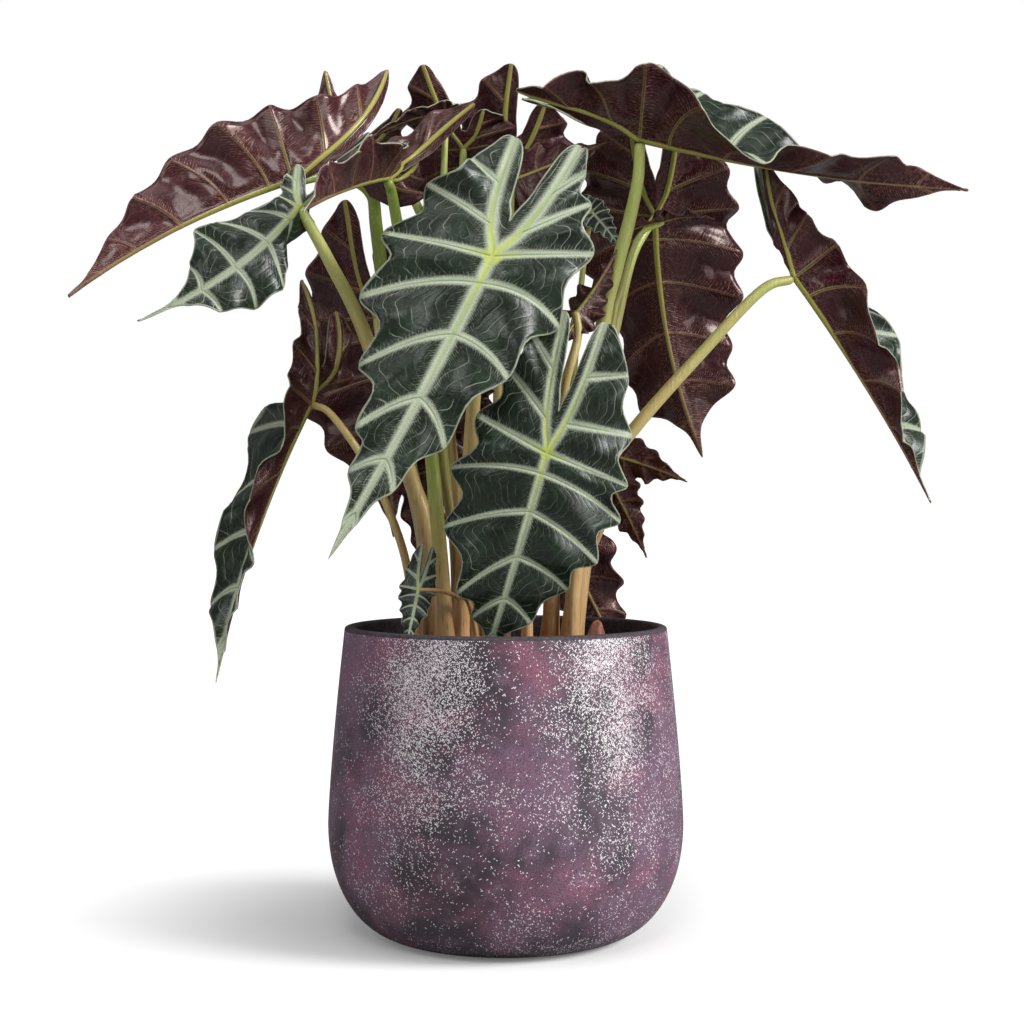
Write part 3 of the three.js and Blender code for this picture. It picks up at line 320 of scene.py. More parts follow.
class LeafForm:
    """A leaf hung in space, in millimetres, from its entry in LEAVES."""

    def __init__(self, entry):
        self.entry = {**PLAIN_LEAF, **entry}
        e = self.entry
        self.joint = np.array(e["joint"], float)
        self.tip = np.array(e["tip"], float)
        faces = e["face"] if isinstance(e["face"][0], (list, tuple)) else [e["face"]] * 3
        self.faces = unit(faces)
        self.lobe_face = self.faces[0] if e["lobeFace"] is None else unit(e["lobeFace"])
        chord = self.tip - self.joint
        self.length = np.linalg.norm(chord) / TIP
        way = unit(chord)
        aside = unit(np.cross(way, self.faces[0]))
        rise = np.cross(aside, way)
        bend = rise * e["sag"] + aside * e["sweep"]
        self.control = (self.joint + self.tip) / 2 + bend * self.length * 2
        start = unit(self.control - self.joint)
        aside = unit(np.cross(start, self.faces[0]))
        rise = np.cross(aside, start)
        self.lobes = []
        for side in (0, 1):
            reach = LOBE * self.length * both_sides(e["lobes"])[side]
            up = math.radians(both_sides(e["lift"])[side])
            out = math.radians(both_sides(e["swing"])[side])
            back = -start * math.cos(up) + rise * math.sin(up)
            back = back * math.cos(out) + (-1 if side else 1) * math.sin(out) * aside
            self.lobes.append((self.joint - start * reach * 0.5, self.joint + back * reach))

    def spine(self, y, side):
        """Centre line, direction across and direction up at places y along the blade."""
        lobe_control, lobe_end = self.lobes[side]
        t = np.clip(y / TIP, 0, 1)[..., None]
        s = np.clip(-y / LOBE, 0, 1)[..., None]
        front = (y >= 0)[..., None]
        centre = np.where(
            front, arc(self.joint, self.control, self.tip, t), arc(self.joint, lobe_control, lobe_end, s)
        )
        way = np.where(
            front, arc_slope(self.joint, self.control, self.tip, t),
            -arc_slope(self.joint, lobe_control, lobe_end, s),
        )
        a, b, c = self.faces
        near = a + (b - a) * ease(y / 0.5)[..., None]
        far = b + (c - b) * ease((y - 0.5) / 0.5)[..., None]
        behind = a + (self.lobe_face - a) * ease(-y / LOBE * 2)[..., None]
        face = np.where(front, np.where((y < 0.5)[..., None], near, far), behind)
        across = unit(np.cross(way, face))
        return centre, across, np.cross(across, way)

    def bend(self, flat, side, u, w, inner):
        """Flat points folded, curled and waved into their place."""
        e = self.entry
        x, y = flat[..., 0], flat[..., 1]
        size = self.length
        centre, across, up = self.spine(y, side)
        splay = e["splay"][side] * np.maximum(0, -y) * np.minimum(1, np.abs(x) / 0.05)
        a = (np.abs(x) + splay) * size * along_blade(both_sides(e["width"])[side], y)
        fold = np.radians(along_blade(both_sides(e["fold"])[side], y))
        curl = np.radians(along_blade(both_sides(e["curl"])[side], y)) / (0.35 * size)
        turn = fold + curl * a
        bent = np.abs(curl) > 1e-9
        safe = np.where(bent, curl, 1)
        out = np.where(bent, (np.sin(turn) - np.sin(fold)) / safe, a * np.cos(fold))
        rise = np.where(bent, (np.cos(fold) - np.cos(turn)) / safe, a * np.sin(fold))
        if inner:
            h = e["ripple"] * 0.5 * w * np.sin(u * 2) * np.sin(np.pi * -u / 3)
        else:
            reach = np.minimum(1, np.abs(x) / 0.3)
            wave = np.sin(0.9 * np.pi * u + (2.1 if side else 0)) - np.cos(2 * np.pi * u) * 0.6
            h = e["quilt"] * np.sin(np.pi * u) ** 2 * np.sin(np.pi * w) * np.minimum(1, reach * 1.5)
            h = h + e["ripple"] * w * w * wave * np.minimum(1, reach + 0.25)
            h = h * np.minimum(1, np.minimum(u - FIRST_VEIN, LAST_VEIN - u))
        h = h * size * np.minimum(1, a / (0.09 * size) + 0.1)
        sideways = (-1 if side else 1) * (out - np.sin(turn) * h)
        return centre + across * sideways[..., None] + up * (rise + np.cos(turn) * h)[..., None]

    def outer(self, u, w, side):
        flat = flat_outer(u, w, self.entry["scallop"], self.entry["edge"][side])
        return self.bend(flat, side, u, w, False), flat

    def inner(self, u, w, side):
        flat = flat_inner(u, w)
        place = self.bend(flat, side, u, w, True)
        cut = flat_inner(u, np.ones_like(w))
        ends = [self.bend(cut, n, u, np.ones_like(w), True) for n in (0, 1)]
        share = np.clip((0.4 + u / 3) / 0.15, 0, 1) * w
        place = place + ((ends[0] + ends[1]) / 2 - ends[side]) * share[..., None]
        return place, flat


def line_distance(points, line):
    """How far flat points lie from a flat line of many points."""
    a, b = line[:-1], line[1:]
    along = b - a
    t = np.einsum("nsk,sk->ns", points[:, None, :] - a, along) / np.maximum((along**2).sum(-1), 1e-12)
    nearest = a + np.clip(t, 0, 1)[..., None] * along
    return np.linalg.norm(points[:, None, :] - nearest, axis=-1).min(1)


def crowd(place, strength):
    """Moves places towards the whole numbers, so that the mesh is finest along the veins."""
    part = place - np.floor(place)
    return np.floor(place) + part - strength * np.sin(2 * np.pi * part) / (2 * np.pi)


def leaf_lines(form, side):
    """The veins, ribs and margins of half a flat leaf as lines, in millimetres."""
    e = form.entry
    run = np.linspace(0, 1, 14)
    veins = [
        flat_outer(np.full(14, float(n)), run, e["scallop"], e["edge"][side])
        for n in range(FIRST_VEIN + 1, LAST_VEIN)
    ]
    lobe = curve_rows(RIB, np.linspace(0, 3, 16))
    lobe[-1] = (0, 0)
    u = np.linspace(FIRST_VEIN, LAST_VEIN, 100)
    outside = flat_outer(u, np.ones(100), e["scallop"], e["edge"][side])
    cut = flat_inner(np.linspace(FIRST_VEIN, -0.75, 20), np.ones(20))
    size = form.length
    ribs = [np.array([(0, 0), (0, TIP)]) * size, lobe * size]
    return [vein * size for vein in veins], ribs, [outside * size, cut * size]


# Kept on each point of a blade, as on a leaf of the usual length: the distances to the nearest rib,
# side vein and margin, the way out along a side vein, the distance to the stalk, the ribs' tone and the
# gloss of the lower side, which also paints that side's maroon lighter as a painted sheen.
LEAF_VALUES = ("rib", "vein", "margin", "run", "reach", "tone", "gloss_and_painted_sheen")
USUAL_LENGTH = 150
LONG_BLADE = 90
STOUT_STALK = 2.5

# How far the upper side of a blade lies over its middle layer, for each shift, and how high the ribs and
# veins rise below and how deep they sink above, in millimetres. CRINKLES are the waves between the veins:
# how many to the metre, roughly, and how high.
UPPER_SIDE = {-1: 0.84, 0: 0.42, 1: 0.0}
RIB_RISE = 1.5
RIB_MOST = 2.2
VEIN_RISE = 0.4
RIB_FURROW = 0.5
VEIN_FURROW = 0.55
CRINKLES = ((26, 3.2), (75, 1.5), (150, 0.45))


def add_half_blade(bm, layers, form, side, inner):
    """One half of a blade, or the web of one back lobe, as a grid laid out between its veins."""
    e = form.entry
    fine, columns = (15, 18) if form.length > LONG_BLADE else (9, 10)
    if inner:
        columns //= 2
    last = 0 if inner else LAST_VEIN
    rows = (last - FIRST_VEIN) * fine
    made = bmesh.ops.create_grid(bm, x_segments=columns, y_segments=rows, size=0.5)["verts"]
    spot = np.array([v.co[:2] for v in made]) + 0.5
    u = FIRST_VEIN + crowd(spot[:, 1] * (last - FIRST_VEIN), 0.62)
    u[spot[:, 1] > 0.9999] = last
    w = np.clip(spot[:, 0], 0, 1) ** 1.35
    place, flat = (form.inner if inner else form.outer)(u, w, side)
    veins, ribs, margins = leaf_lines(form, side)
    flat_mm = flat * form.length
    to_rib = np.minimum(*(line_distance(flat_mm, line) for line in ribs))
    to_vein = np.full(len(u), 99.0)
    if not inner:
        to_vein = np.min([line_distance(flat_mm, line) for line in veins], 0)
    to_margin = np.min([line_distance(flat_mm, line) for line in margins], 0)
    reach = np.linalg.norm(flat_mm, axis=-1)
    tone, gloss_and_painted_sheen = (np.full(len(u), float(e[name])) for name in ("tone", "gloss_and_painted_sheen"))
    usual = (USUAL_LENGTH / form.length) ** 0.85
    lengths = [usual * value for value in (to_rib, to_vein, to_margin)]
    values = dict(zip(LEAF_VALUES, (*lengths, w, reach * USUAL_LENGTH / form.length, tone, gloss_and_painted_sheen)))
    for n, vert in enumerate(made):
        vert.co = place[n] * MM
        x, y = flat_mm[n] * CM
        vert[layers["flat"]] = (-x if side else x, y, 0)
        for name in LEAF_VALUES:
            vert[layers[name]] = values[name][n]
    if bool(side) != inner:
        own = {face for vert in made for face in vert.link_faces}
        bmesh.ops.reverse_faces(bm, faces=list(own))


def bell(distance, width):
    return np.exp(-((distance / width) ** 2))


def finish_mesh(bm, name, materials):
    mesh = bpy.data.meshes.new(name)
    for face in bm.faces:
        face.smooth = True
    bm.to_mesh(mesh)
    bm.free()
    piece = bpy.data.objects.new(name, mesh)
    bpy.context.scene.collection.objects.link(piece)
    for material in materials:
        mesh.materials.append(material)
    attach(piece, "root")
    return piece


def make_blade(entry, settings, materials):
    form = LeafForm(entry)
    bm = bmesh.new()
    layers = {name: bm.verts.layers.float.new(name) for name in LEAF_VALUES}
    layers["flat"] = bm.verts.layers.float_vector.new("flat")
    for side in (0, 1):
        add_half_blade(bm, layers, form, side, False)
        add_half_blade(bm, layers, form, side, True)
    bmesh.ops.remove_doubles(bm, verts=bm.verts, dist=0.02 * MM)
    bm.normal_update()
    small = min(1, form.length / 120)
    thin = settings.blade_thickness / MM
    deepest = thin + RIB_MOST
    groups = bm.verts.layers.deform.verify()
    over = UPPER_SIDE[form.entry["shift"]]
    for vert in bm.verts:
        rib, vein, run = vert[layers["rib"]], vert[layers["vein"]], vert[layers["run"]]
        reach = vert[layers["reach"]] / USUAL_LENGTH
        rib_ridge = RIB_RISE * bell(rib, 1.2) * max(0.15, 1 - reach)
        vein_ridge = VEIN_RISE * bell(vein, 0.8) * (1 - 0.7 * run)
        vert[groups][0] = (thin + max(rib_ridge, vein_ridge) * small) / deepest
        furrow = max(VEIN_FURROW * bell(vein, 1.2) * (1 - 0.5 * run), RIB_FURROW * bell(rib, 1.3))
        free = min(1, rib / 7) * min(1, vein / 5)
        crinkle = sum(noise.noise(vert.co * fineness) * high for fineness, high in CRINKLES)
        vert.co += vert.normal * (over - furrow * small + crinkle * free * small) * MM
    sides = [materials[1]] * 2 if form.entry["maroon"] else materials
    blade = finish_mesh(bm, "blade_" + form.entry["name"], sides)
    blade.vertex_groups.new(name="thickness")
    wall = blade.modifiers.new("Blade thickness", "SOLIDIFY")
    wall.thickness = deepest * MM
    wall.offset = -1
    wall.vertex_group = "thickness"
    wall.material_offset = 1
    wall.material_offset_rim = 0
    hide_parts("leaf_" + form.entry["name"] + "_blade")


def stalk_path(form, steps):
    """The middle of a stalk, in millimetres, from under the soil to just under its blade."""
    e = form.entry
    foot = (*e["stem"][0][:2], SOIL_TOP - STALK_DEPTH)
    face = form.faces[0]
    under = form.joint - face * (e["thick"][1] * 0.75 + 0.3)
    way = [foot, *e["stem"][1:], under]
    return curve_rows(way, np.linspace(0, len(way) - 1, steps + 1))


def make_stalk(entry, materials):
    form = LeafForm(entry)
    e = form.entry
    steps, sides = (72, 20) if e["thick"][0] > STOUT_STALK else (40, 12)
    path = stalk_path(form, steps)
    bm = bmesh.new()
    layers = {name: bm.verts.layers.float.new(name) for name in ("height", "tone", "green")}
    made = bmesh.ops.create_grid(bm, x_segments=sides, y_segments=steps, size=0.5)["verts"]
    ways = unit(np.gradient(path, axis=0))
    across = unit(np.cross(ways[0], (0.3, 1, 0.1)))
    rings = []
    for point, way in zip(path, ways):
        across = unit(across - way * across.dot(way))
        rings.append((point, across, np.cross(way, across)))
    for vert in made:
        n = round((vert.co.y + 0.5) * steps)
        turn = 2 * math.pi * (vert.co.x + 0.5)
        t = n / steps
        point, aside, other = rings[n]
        radius = e["thick"][0] + (e["thick"][1] - e["thick"][0]) * t
        radius *= 1 + 0.05 * math.sin(3 * turn + 2) * (1 - t) + 0.16 * max(0, 1 - t * 9)
        radius *= 1 - 0.25 * max(0, (t - 0.985) / 0.015)
        vert[layers["height"]] = point[2]
        vert[layers["tone"]] = e["tone"]
        vert[layers["green"]] = e["green"]
        vert.co = (point + radius * (math.cos(turn) * aside + math.sin(turn) * other)) * MM
    bmesh.ops.remove_doubles(bm, verts=bm.verts, dist=0.01 * MM)
    close_rims(bm)
    stalk = finish_mesh(bm, "stalk_" + e["name"], materials)
    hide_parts("leaf_" + e["name"] + "_stalk")


def pot_outside(turns, leans):
    line = []
    for i in range(turns + 1):
        t = i / turns * math.pi / 2
        wide = math.sin(t) ** (2 / POT_CORNER_POWER) if i else 0
        high = 1 - max(0, math.cos(t)) ** (2 / POT_CORNER_POWER)
        line.append((POT_FOOT_RADIUS + (POT_BELLY_RADIUS - POT_FOOT_RADIUS) * wide, POT_BELLY_HEIGHT * high))
    for i in range(1, leans + 1):
        t = i / leans
        radius = POT_BELLY_RADIUS - (POT_BELLY_RADIUS - POT_RIM_RADIUS) * t**POT_LEAN_POWER
        line.append((radius, POT_BELLY_HEIGHT + (POT_HEIGHT - POT_RIM_ROUNDING - POT_BELLY_HEIGHT) * t))
    return line


def close_rims(bm):
    """Fills each open rim with one face, and turns all the faces outwards."""
    rims = [edge for edge in bm.edges if edge.is_boundary]
    bmesh.ops.holes_fill(bm, edges=rims, sides=0)
    bmesh.ops.recalc_face_normals(bm, faces=bm.faces)


def make_pot(materials):
    outside = pot_outside(22, 16)
    rim = []
    for i in range(1, 12):
        turn = math.pi * i / 12
        half = POT_WALL / 2
        rise = POT_RIM_ROUNDING * math.sin(turn) ** 0.8
        rim.append((POT_RIM_RADIUS - half + half * math.cos(turn), POT_HEIGHT - POT_RIM_ROUNDING + rise))
    inside = [(r - POT_WALL, z) for r, z in reversed(outside) if z > POT_FLOOR + POT_FLOOR_CORNER]
    inside += [(POT_FLOOR_RADIUS, POT_FLOOR), (0, POT_FLOOR)]
    profile = [(0, 0)] + outside + rim + inside
    bm = bmesh.new()
    verts = [bm.verts.new((r * MM, 0, z * MM)) for r, z in profile]
    edges = [bm.edges.new(pair) for pair in zip(verts, verts[1:])]
    bmesh.ops.spin(
        bm, geom=verts + edges, cent=(0, 0, 0), axis=(0, 0, 1), dvec=(0, 0, 0),
        angle=math.tau, steps=128, use_merge=True, use_duplicate=False,
    )
    bmesh.ops.remove_doubles(bm, verts=bm.verts, dist=0.01 * MM)
    bmesh.ops.recalc_face_normals(bm, faces=bm.faces)
    for face in bm.faces:
        middle = face.calc_center_median()
        inward = face.normal.x * middle.x + face.normal.y * middle.y < 0
        bare = inward or middle.z > (POT_HEIGHT - 2.4) * MM or abs(middle.z - POT_FLOOR * MM) < 1e-5
        face.material_index = 1 if bare else 0
    pot = finish_mesh(bm, "glazed_pot", materials)
    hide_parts("pot")


def make_soil(materials):
    bm = bmesh.new()
    made = bmesh.ops.create_grid(bm, x_segments=150, y_segments=150, size=1)["verts"]
    radius = POT_RIM_RADIUS - POT_WALL - SOIL_GAP
    for vert in made:
        x, y = vert.co.x, vert.co.y
        x, y = x * math.sqrt(1 - y * y / 2), y * math.sqrt(1 - x * x / 2)
        place = Vector((x * radius, y * radius, 0))
        crumbs = noise.noise(place * 0.11) * 1.6 + abs(noise.noise(place * 0.33)) * 3.2
        crumbs += abs(noise.noise(place * 0.9)) * 1.5
        edge = max(0, 1 - (1 - math.hypot(x, y)) * 14)
        vert.co = (place.x * MM, place.y * MM, (SOIL_TOP - SOIL_SINK + crumbs - 2 * edge) * MM)
    rims = [edge for edge in bm.edges if edge.is_boundary]
    walls = bmesh.ops.extrude_edge_only(bm, edges=rims)["geom"]
    for part in walls:
        if isinstance(part, bmesh.types.BMVert):
            part.co.z = (SOIL_TOP - SOIL_DEPTH) * MM
    close_rims(bm)
    soil = finish_mesh(bm, "potting_soil", materials)
    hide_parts("soil")


def make_dry_scale(materials):
    bm = bmesh.new()
    made = bmesh.ops.create_grid(bm, x_segments=26, y_segments=30, size=0.5)["verts"]
    for vert in made:
        side, h = vert.co.x * 2, vert.co.y + 0.5
        narrow = 1 - 0.45 * h * h
        turn = math.radians(SCALE_SPREAD * side * narrow)
        z = SCALE_FOOT + (SCALE_TOP - SCALE_FOOT) * h * (1 - 0.18 * side * side * h)
        out = SCALE_RADIUS * (1 - 0.15 * h) + noise.noise(Vector((side * 2, h * 3, 5))) * 0.9
        lean = SCALE_LEAN * (z - SOIL_TOP)
        x = SCALE_PLACE[0] + out * math.sin(turn) + lean * 0.3
        y = SCALE_PLACE[1] - out * math.cos(turn) + 9 + lean
        vert.co = (x * MM, y * MM, z * MM)
    scale = finish_mesh(bm, "dry_scale", materials)
    wall = scale.modifiers.new("Scale thickness", "SOLIDIFY")
    wall.thickness = SCALE_THICKNESS * MM
    wall.offset = 0
    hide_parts("dry_sheath_scale")


def tint(code):
    """A colour as Blender keeps it, from its usual code of six hex digits."""
    parts = [int(code[n:n + 2], 16) / 255 for n in (0, 2, 4)]
    return tuple(c / 12.92 if c <= 0.04045 else ((c + 0.055) / 1.055) ** 2.4 for c in parts)


def set_inputs(tree, made, inputs):
    """Links each input that is given a socket, and sets each that is given a value."""
    for key, value in inputs.items():
        if isinstance(value, bpy.types.NodeSocket):
            tree.links.new(value, made.inputs[key])
            continue
        if made.inputs[key].type == "RGBA" and len(value) == 3:
            value = (*value, 1)
        made.inputs[key].default_value = value


def node(tree, kind, inputs=None, **settings):
    made = tree.nodes.new(kind)
    for key, value in settings.items():
        setattr(made, key, value)
    set_inputs(tree, made, inputs or {})
    return made


def maths(tree, operation, a, b=0.0, c=0.0):
    return node(tree, "ShaderNodeMath", {0: a, 1: b, 2: c}, operation=operation).outputs[0]


def times(tree, a, b):
    return maths(tree, "MULTIPLY", a, b)


def times_plus(tree, a, b, c):
    return maths(tree, "MULTIPLY_ADD", a, b, c)


def most(tree, a, b):
    return maths(tree, "MAXIMUM", a, b)


def ramp(tree, value, low, high, start=0.0, end=1.0):
    """A soft step: start where value is low, end where it is high."""
    inputs = {"Value": value, "From Min": low, "From Max": high, "To Min": start, "To Max": end}
    return node(tree, "ShaderNodeMapRange", inputs, interpolation_type="SMOOTHSTEP").outputs[0]


def paint(tree, mask, under, over):
    return node(tree, "ShaderNodeMix", {0: mask, 6: under, 7: over}, data_type="RGBA").outputs[2]


def cloud(tree, vector, scale, detail=2.0, roughness=0.5, distortion=0.0):
    inputs = {"Vector": vector, "Scale": scale, "Detail": detail, "Roughness": roughness}
    inputs["Distortion"] = distortion
    return node(tree, "ShaderNodeTexNoise", inputs).outputs["Fac"]


def cells(tree, vector, scale, feature="F1"):
    return node(tree, "ShaderNodeTexVoronoi", {"Vector": vector, "Scale": scale}, feature=feature).outputs


def move(tree, operation, a, b=(0, 0, 0)):
    return node(tree, "ShaderNodeVectorMath", {0: a, 1: b}, operation=operation).outputs


def parts(tree, vector):
    return node(tree, "ShaderNodeSeparateXYZ", {0: vector}).outputs


def joined(tree, x, y):
    return node(tree, "ShaderNodeCombineXYZ", {0: x, 1: y}).outputs[0]


def leaf_value(tree, name):
    return node(tree, "ShaderNodeAttribute", attribute_name=name).outputs["Fac"]


def leaf_place(tree):
    return node(tree, "ShaderNodeAttribute", attribute_name="flat").outputs["Vector"]


def object_place(tree):
    return node(tree, "ShaderNodeTexCoord").outputs["Object"]


def stretch(tree, vector, scale, turn=(0, 0, 0)):
    inputs = {"Vector": vector, "Scale": scale, "Rotation": turn}
    return node(tree, "ShaderNodeMapping", inputs).outputs[0]


def effect(name, inputs, outputs):
    """An empty shader group with named inputs and outputs."""
    group = bpy.data.node_groups.new(name, "ShaderNodeTree")
    for label, kind, value in inputs:
        socket = group.interface.new_socket(label, in_out="INPUT", socket_type=kind)
        if value is not None:
            socket.default_value = value
    for label, kind in outputs:
        group.interface.new_socket(label, in_out="OUTPUT", socket_type=kind)
    source = group.nodes.new("NodeGroupInput").outputs
    target = group.nodes.new("NodeGroupOutput").inputs
    return group, source, target


def use(tree, group, inputs):
    return node(tree, "ShaderNodeGroup", inputs, node_tree=group).outputs


NUMBER = "NodeSocketFloat"
VECTOR = "NodeSocketVector"


def feathered_line_group():
    """A soft line with frayed borders, from the distance to its middle."""
    group, given, result = effect(
        "Feathered line",
        [("Distance", NUMBER, 1.0), ("Half width", NUMBER, 2.0), ("Fray", NUMBER, 1.0),
         ("Place", VECTOR, None)],
        [("Mask", NUMBER)],
    )
    fine = cloud(group, given["Place"], 11.0, 3.0, 0.7)
    shake = times_plus(group, fine, 2.4, -1.2)
    moved = times_plus(group, shake, given["Fray"], given["Distance"])
    inner = times(group, given["Half width"], 0.35)
    outer = times(group, given["Half width"], 1.4)
    group.links.new(ramp(group, moved, inner, outer, 1.0, 0.0), result["Mask"])
    return group


def hair_line_group():
    """Short lines that leave a vein sideways, like the barbs of a feather."""
    group, given, result = effect(
        "Hair lines",
        [("Along", NUMBER, 0.0), ("Distance", NUMBER, 1.0), ("Length", NUMBER, 6.0),
         ("Thinness", NUMBER, 0.45), ("Place", VECTOR, None)],
        [("Mask", NUMBER)],
    )
    drift = cloud(group, given["Place"], 0.9, 1.0)
    bent = times_plus(group, given["Distance"], -0.8, given["Along"])
    turn = times_plus(group, bent, 3.4, times(group, drift, 16.0))
    lines = ramp(group, maths(group, "SINE", turn), given["Thinness"], 1.0)
    near = ramp(group, given["Distance"], given["Length"], times(group, given["Length"], 0.15))
    broken = ramp(group, cloud(group, given["Place"], 4.2, 2.0), 0.38, 0.66)
    group.links.new(times(group, times(group, lines, near), broken), result["Mask"])
    return group


def small_vein_group():
    """Thin arcs between the side veins, bulging to the margin, with a faint net across them."""
    group, given, result = effect(
        "Small veins",
        [("Place", VECTOR, None), ("Margin", NUMBER, 1.0), ("Vein", NUMBER, 1.0), ("Gap", NUMBER, 5.5)],
        [("Mask", NUMBER), ("Height", NUMBER)],
    )
    drift = cloud(group, given["Place"], 0.36, 0.7, 0.5)
    field = maths(group, "ADD", ramp(group, given["Vein"], 0.0, 10.0, 0.0, 8.0), given["Margin"])
    field = times_plus(group, drift, 10.5, field)
    part = maths(group, "FRACT", maths(group, "DIVIDE", field, given["Gap"]))
    off = maths(group, "ABSOLUTE", maths(group, "SUBTRACT", part, 0.5))
    off = times(group, off, given["Gap"])
    arcs = ramp(group, off, 0.04, 0.32, 1.0, 0.0)
    arcs = times(group, arcs, ramp(group, cloud(group, given["Place"], 0.8, 1.0), 0.36, 0.6))
    bent = move(group, "ADD", given["Place"], joined(group, drift, drift))[0]
    wide, small = (cells(group, bent, scale, "DISTANCE_TO_EDGE")["Distance"] for scale in (0.62, 3.4))
    net = ramp(group, wide, 0.0, 0.022, 0.14, 0.0)
    net = most(group, net, ramp(group, small, 0.0, 0.06, 0.06, 0.0))
    group.links.new(most(group, arcs, net), result["Mask"])
    swell = times_plus(group, small, 0.25, wide)
    group.links.new(times_plus(group, ramp(group, off, 0.0, 1.6), 0.5, swell), result["Height"])
    return group


def empty_tree(owner):
    owner.use_nodes = True
    owner.node_tree.nodes.clear()
    return owner.node_tree


def surface(name):
    material = bpy.data.materials.new(name)
    tree = empty_tree(material)
    shader = node(tree, "ShaderNodeBsdfPrincipled")
    node(tree, "ShaderNodeOutputMaterial", {"Surface": shader.outputs[0]})
    return material, tree, shader


def dress(tree, shader, inputs, height, strength, depth):
    """Gives a shader its inputs, and a relief from a height, a strength and a depth in millimetres."""
    relief = {"Height": height, "Strength": strength, "Distance": depth * MM}
    set_inputs(tree, shader, {**inputs, "Normal": node(tree, "ShaderNodeBump", relief).outputs[0]})


def leaf_skin(tree, effects, flat, values, gap, hair_lengths, thinness):
    """The small veins of one side of a leaf, and a mask of the hair lines beside its larger veins."""
    rib, vein, margin, run = values[:4]
    small = use(tree, effects["small"], {"Place": flat, "Margin": margin, "Vein": vein, "Gap": gap})
    upward = times(tree, parts(tree, flat)[1], 10.0)
    outward = times(tree, run, 50.0)
    masks = []
    for along, distance, length in zip((upward, outward), (rib, vein), hair_lengths):
        line = {"Along": along, "Distance": distance, "Length": length, "Thinness": thinness, "Place": flat}
        masks.append(use(tree, effects["hairs"], line)["Mask"])
    return small, most(tree, *masks)


def leaf_top_finish(effects, settings):
    material, tree, shader = surface("Leaf top")
    flat = leaf_place(tree)
    values = [leaf_value(tree, name) for name in LEAF_VALUES[:5]]
    rib, vein, margin, run, reach = values
    broad = cloud(tree, flat, 0.5, 3.0)
    fine = cloud(tree, flat, 3.5, 4.0, 0.6)
    dark = paint(tree, ramp(tree, broad, 0.35, 0.68), settings.top_shade, settings.top_colour)
    colour = paint(tree, ramp(tree, fine, 0.45, 0.8, 0.0, 0.5), dark, settings.top_light)

    small, hairs = leaf_skin(tree, effects, flat, values, 5.5, (11.0, 6.5), 0.45)
    shown = ramp(tree, margin, 26.0, 3.0, 0.14, 0.46)
    colour = paint(tree, times(tree, small["Mask"], shown), colour, settings.vein_colour)
    colour = paint(tree, times(tree, hairs, 0.42), colour, settings.vein_colour)

    pale = ramp(tree, margin, 0.35, 1.1, 0.75, 0.0)
    vein_half = ramp(tree, run, 0.0, 1.0, 2.6, 1.6)
    rib_half = ramp(tree, reach, 10.0, 150.0, 3.6, 2.0)
    for distance, half, fray in ((vein, vein_half, 1.0), (rib, rib_half, 1.1)):
        line = {"Distance": distance, "Half width": half, "Fray": fray, "Place": flat}
        pale = most(tree, pale, use(tree, effects["line"], line)["Mask"])
    streak = ramp(tree, cloud(tree, flat, 12.0, 2.0), 0.4, 0.75, 0.0, 0.4)
    band = paint(tree, streak, settings.vein_colour, settings.top_light)
    colour = paint(tree, times(tree, pale, 0.9), colour, band)

    core_half = ramp(tree, reach, 5.0, 120.0, 1.15, 0.35)
    core = ramp(tree, maths(tree, "SUBTRACT", rib, core_half), -0.1, 0.6, 1.0, 0.0)
    core_tint = paint(tree, ramp(tree, reach, 5.0, 34.0), settings.joint_colour, settings.core_colour)
    core = times(tree, core, ramp(tree, reach, 14.0, 90.0, 0.9, 0.22))
    colour = paint(tree, core, colour, core_tint)
    star = times(tree, ramp(tree, vein, 1.4, 0.4), ramp(tree, reach, 20.0, 6.0))
    star = most(tree, star, ramp(tree, reach, 6.0, 3.0))
    colour = paint(tree, star, colour, settings.joint_colour)
    groove = ramp(tree, vein, 0.15, 0.6, 1.0, 0.0)
    groove = times(tree, groove, ramp(tree, run, 1.0, 0.3, 0.1, 0.7))
    colour = paint(tree, groove, colour, settings.groove_colour)

    rough = times_plus(tree, pale, 0.16, times_plus(tree, fine, 0.14, 0.24))
    height = times_plus(tree, small["Height"], 0.2, times(tree, fine, 0.3))
    height = times_plus(tree, pale, 0.2, height)
    look = {"Base Color": colour, "Roughness": rough, "Specular IOR Level": 0.34}
    dress(tree, shader, look, height, 0.7, 1.0)
    return material


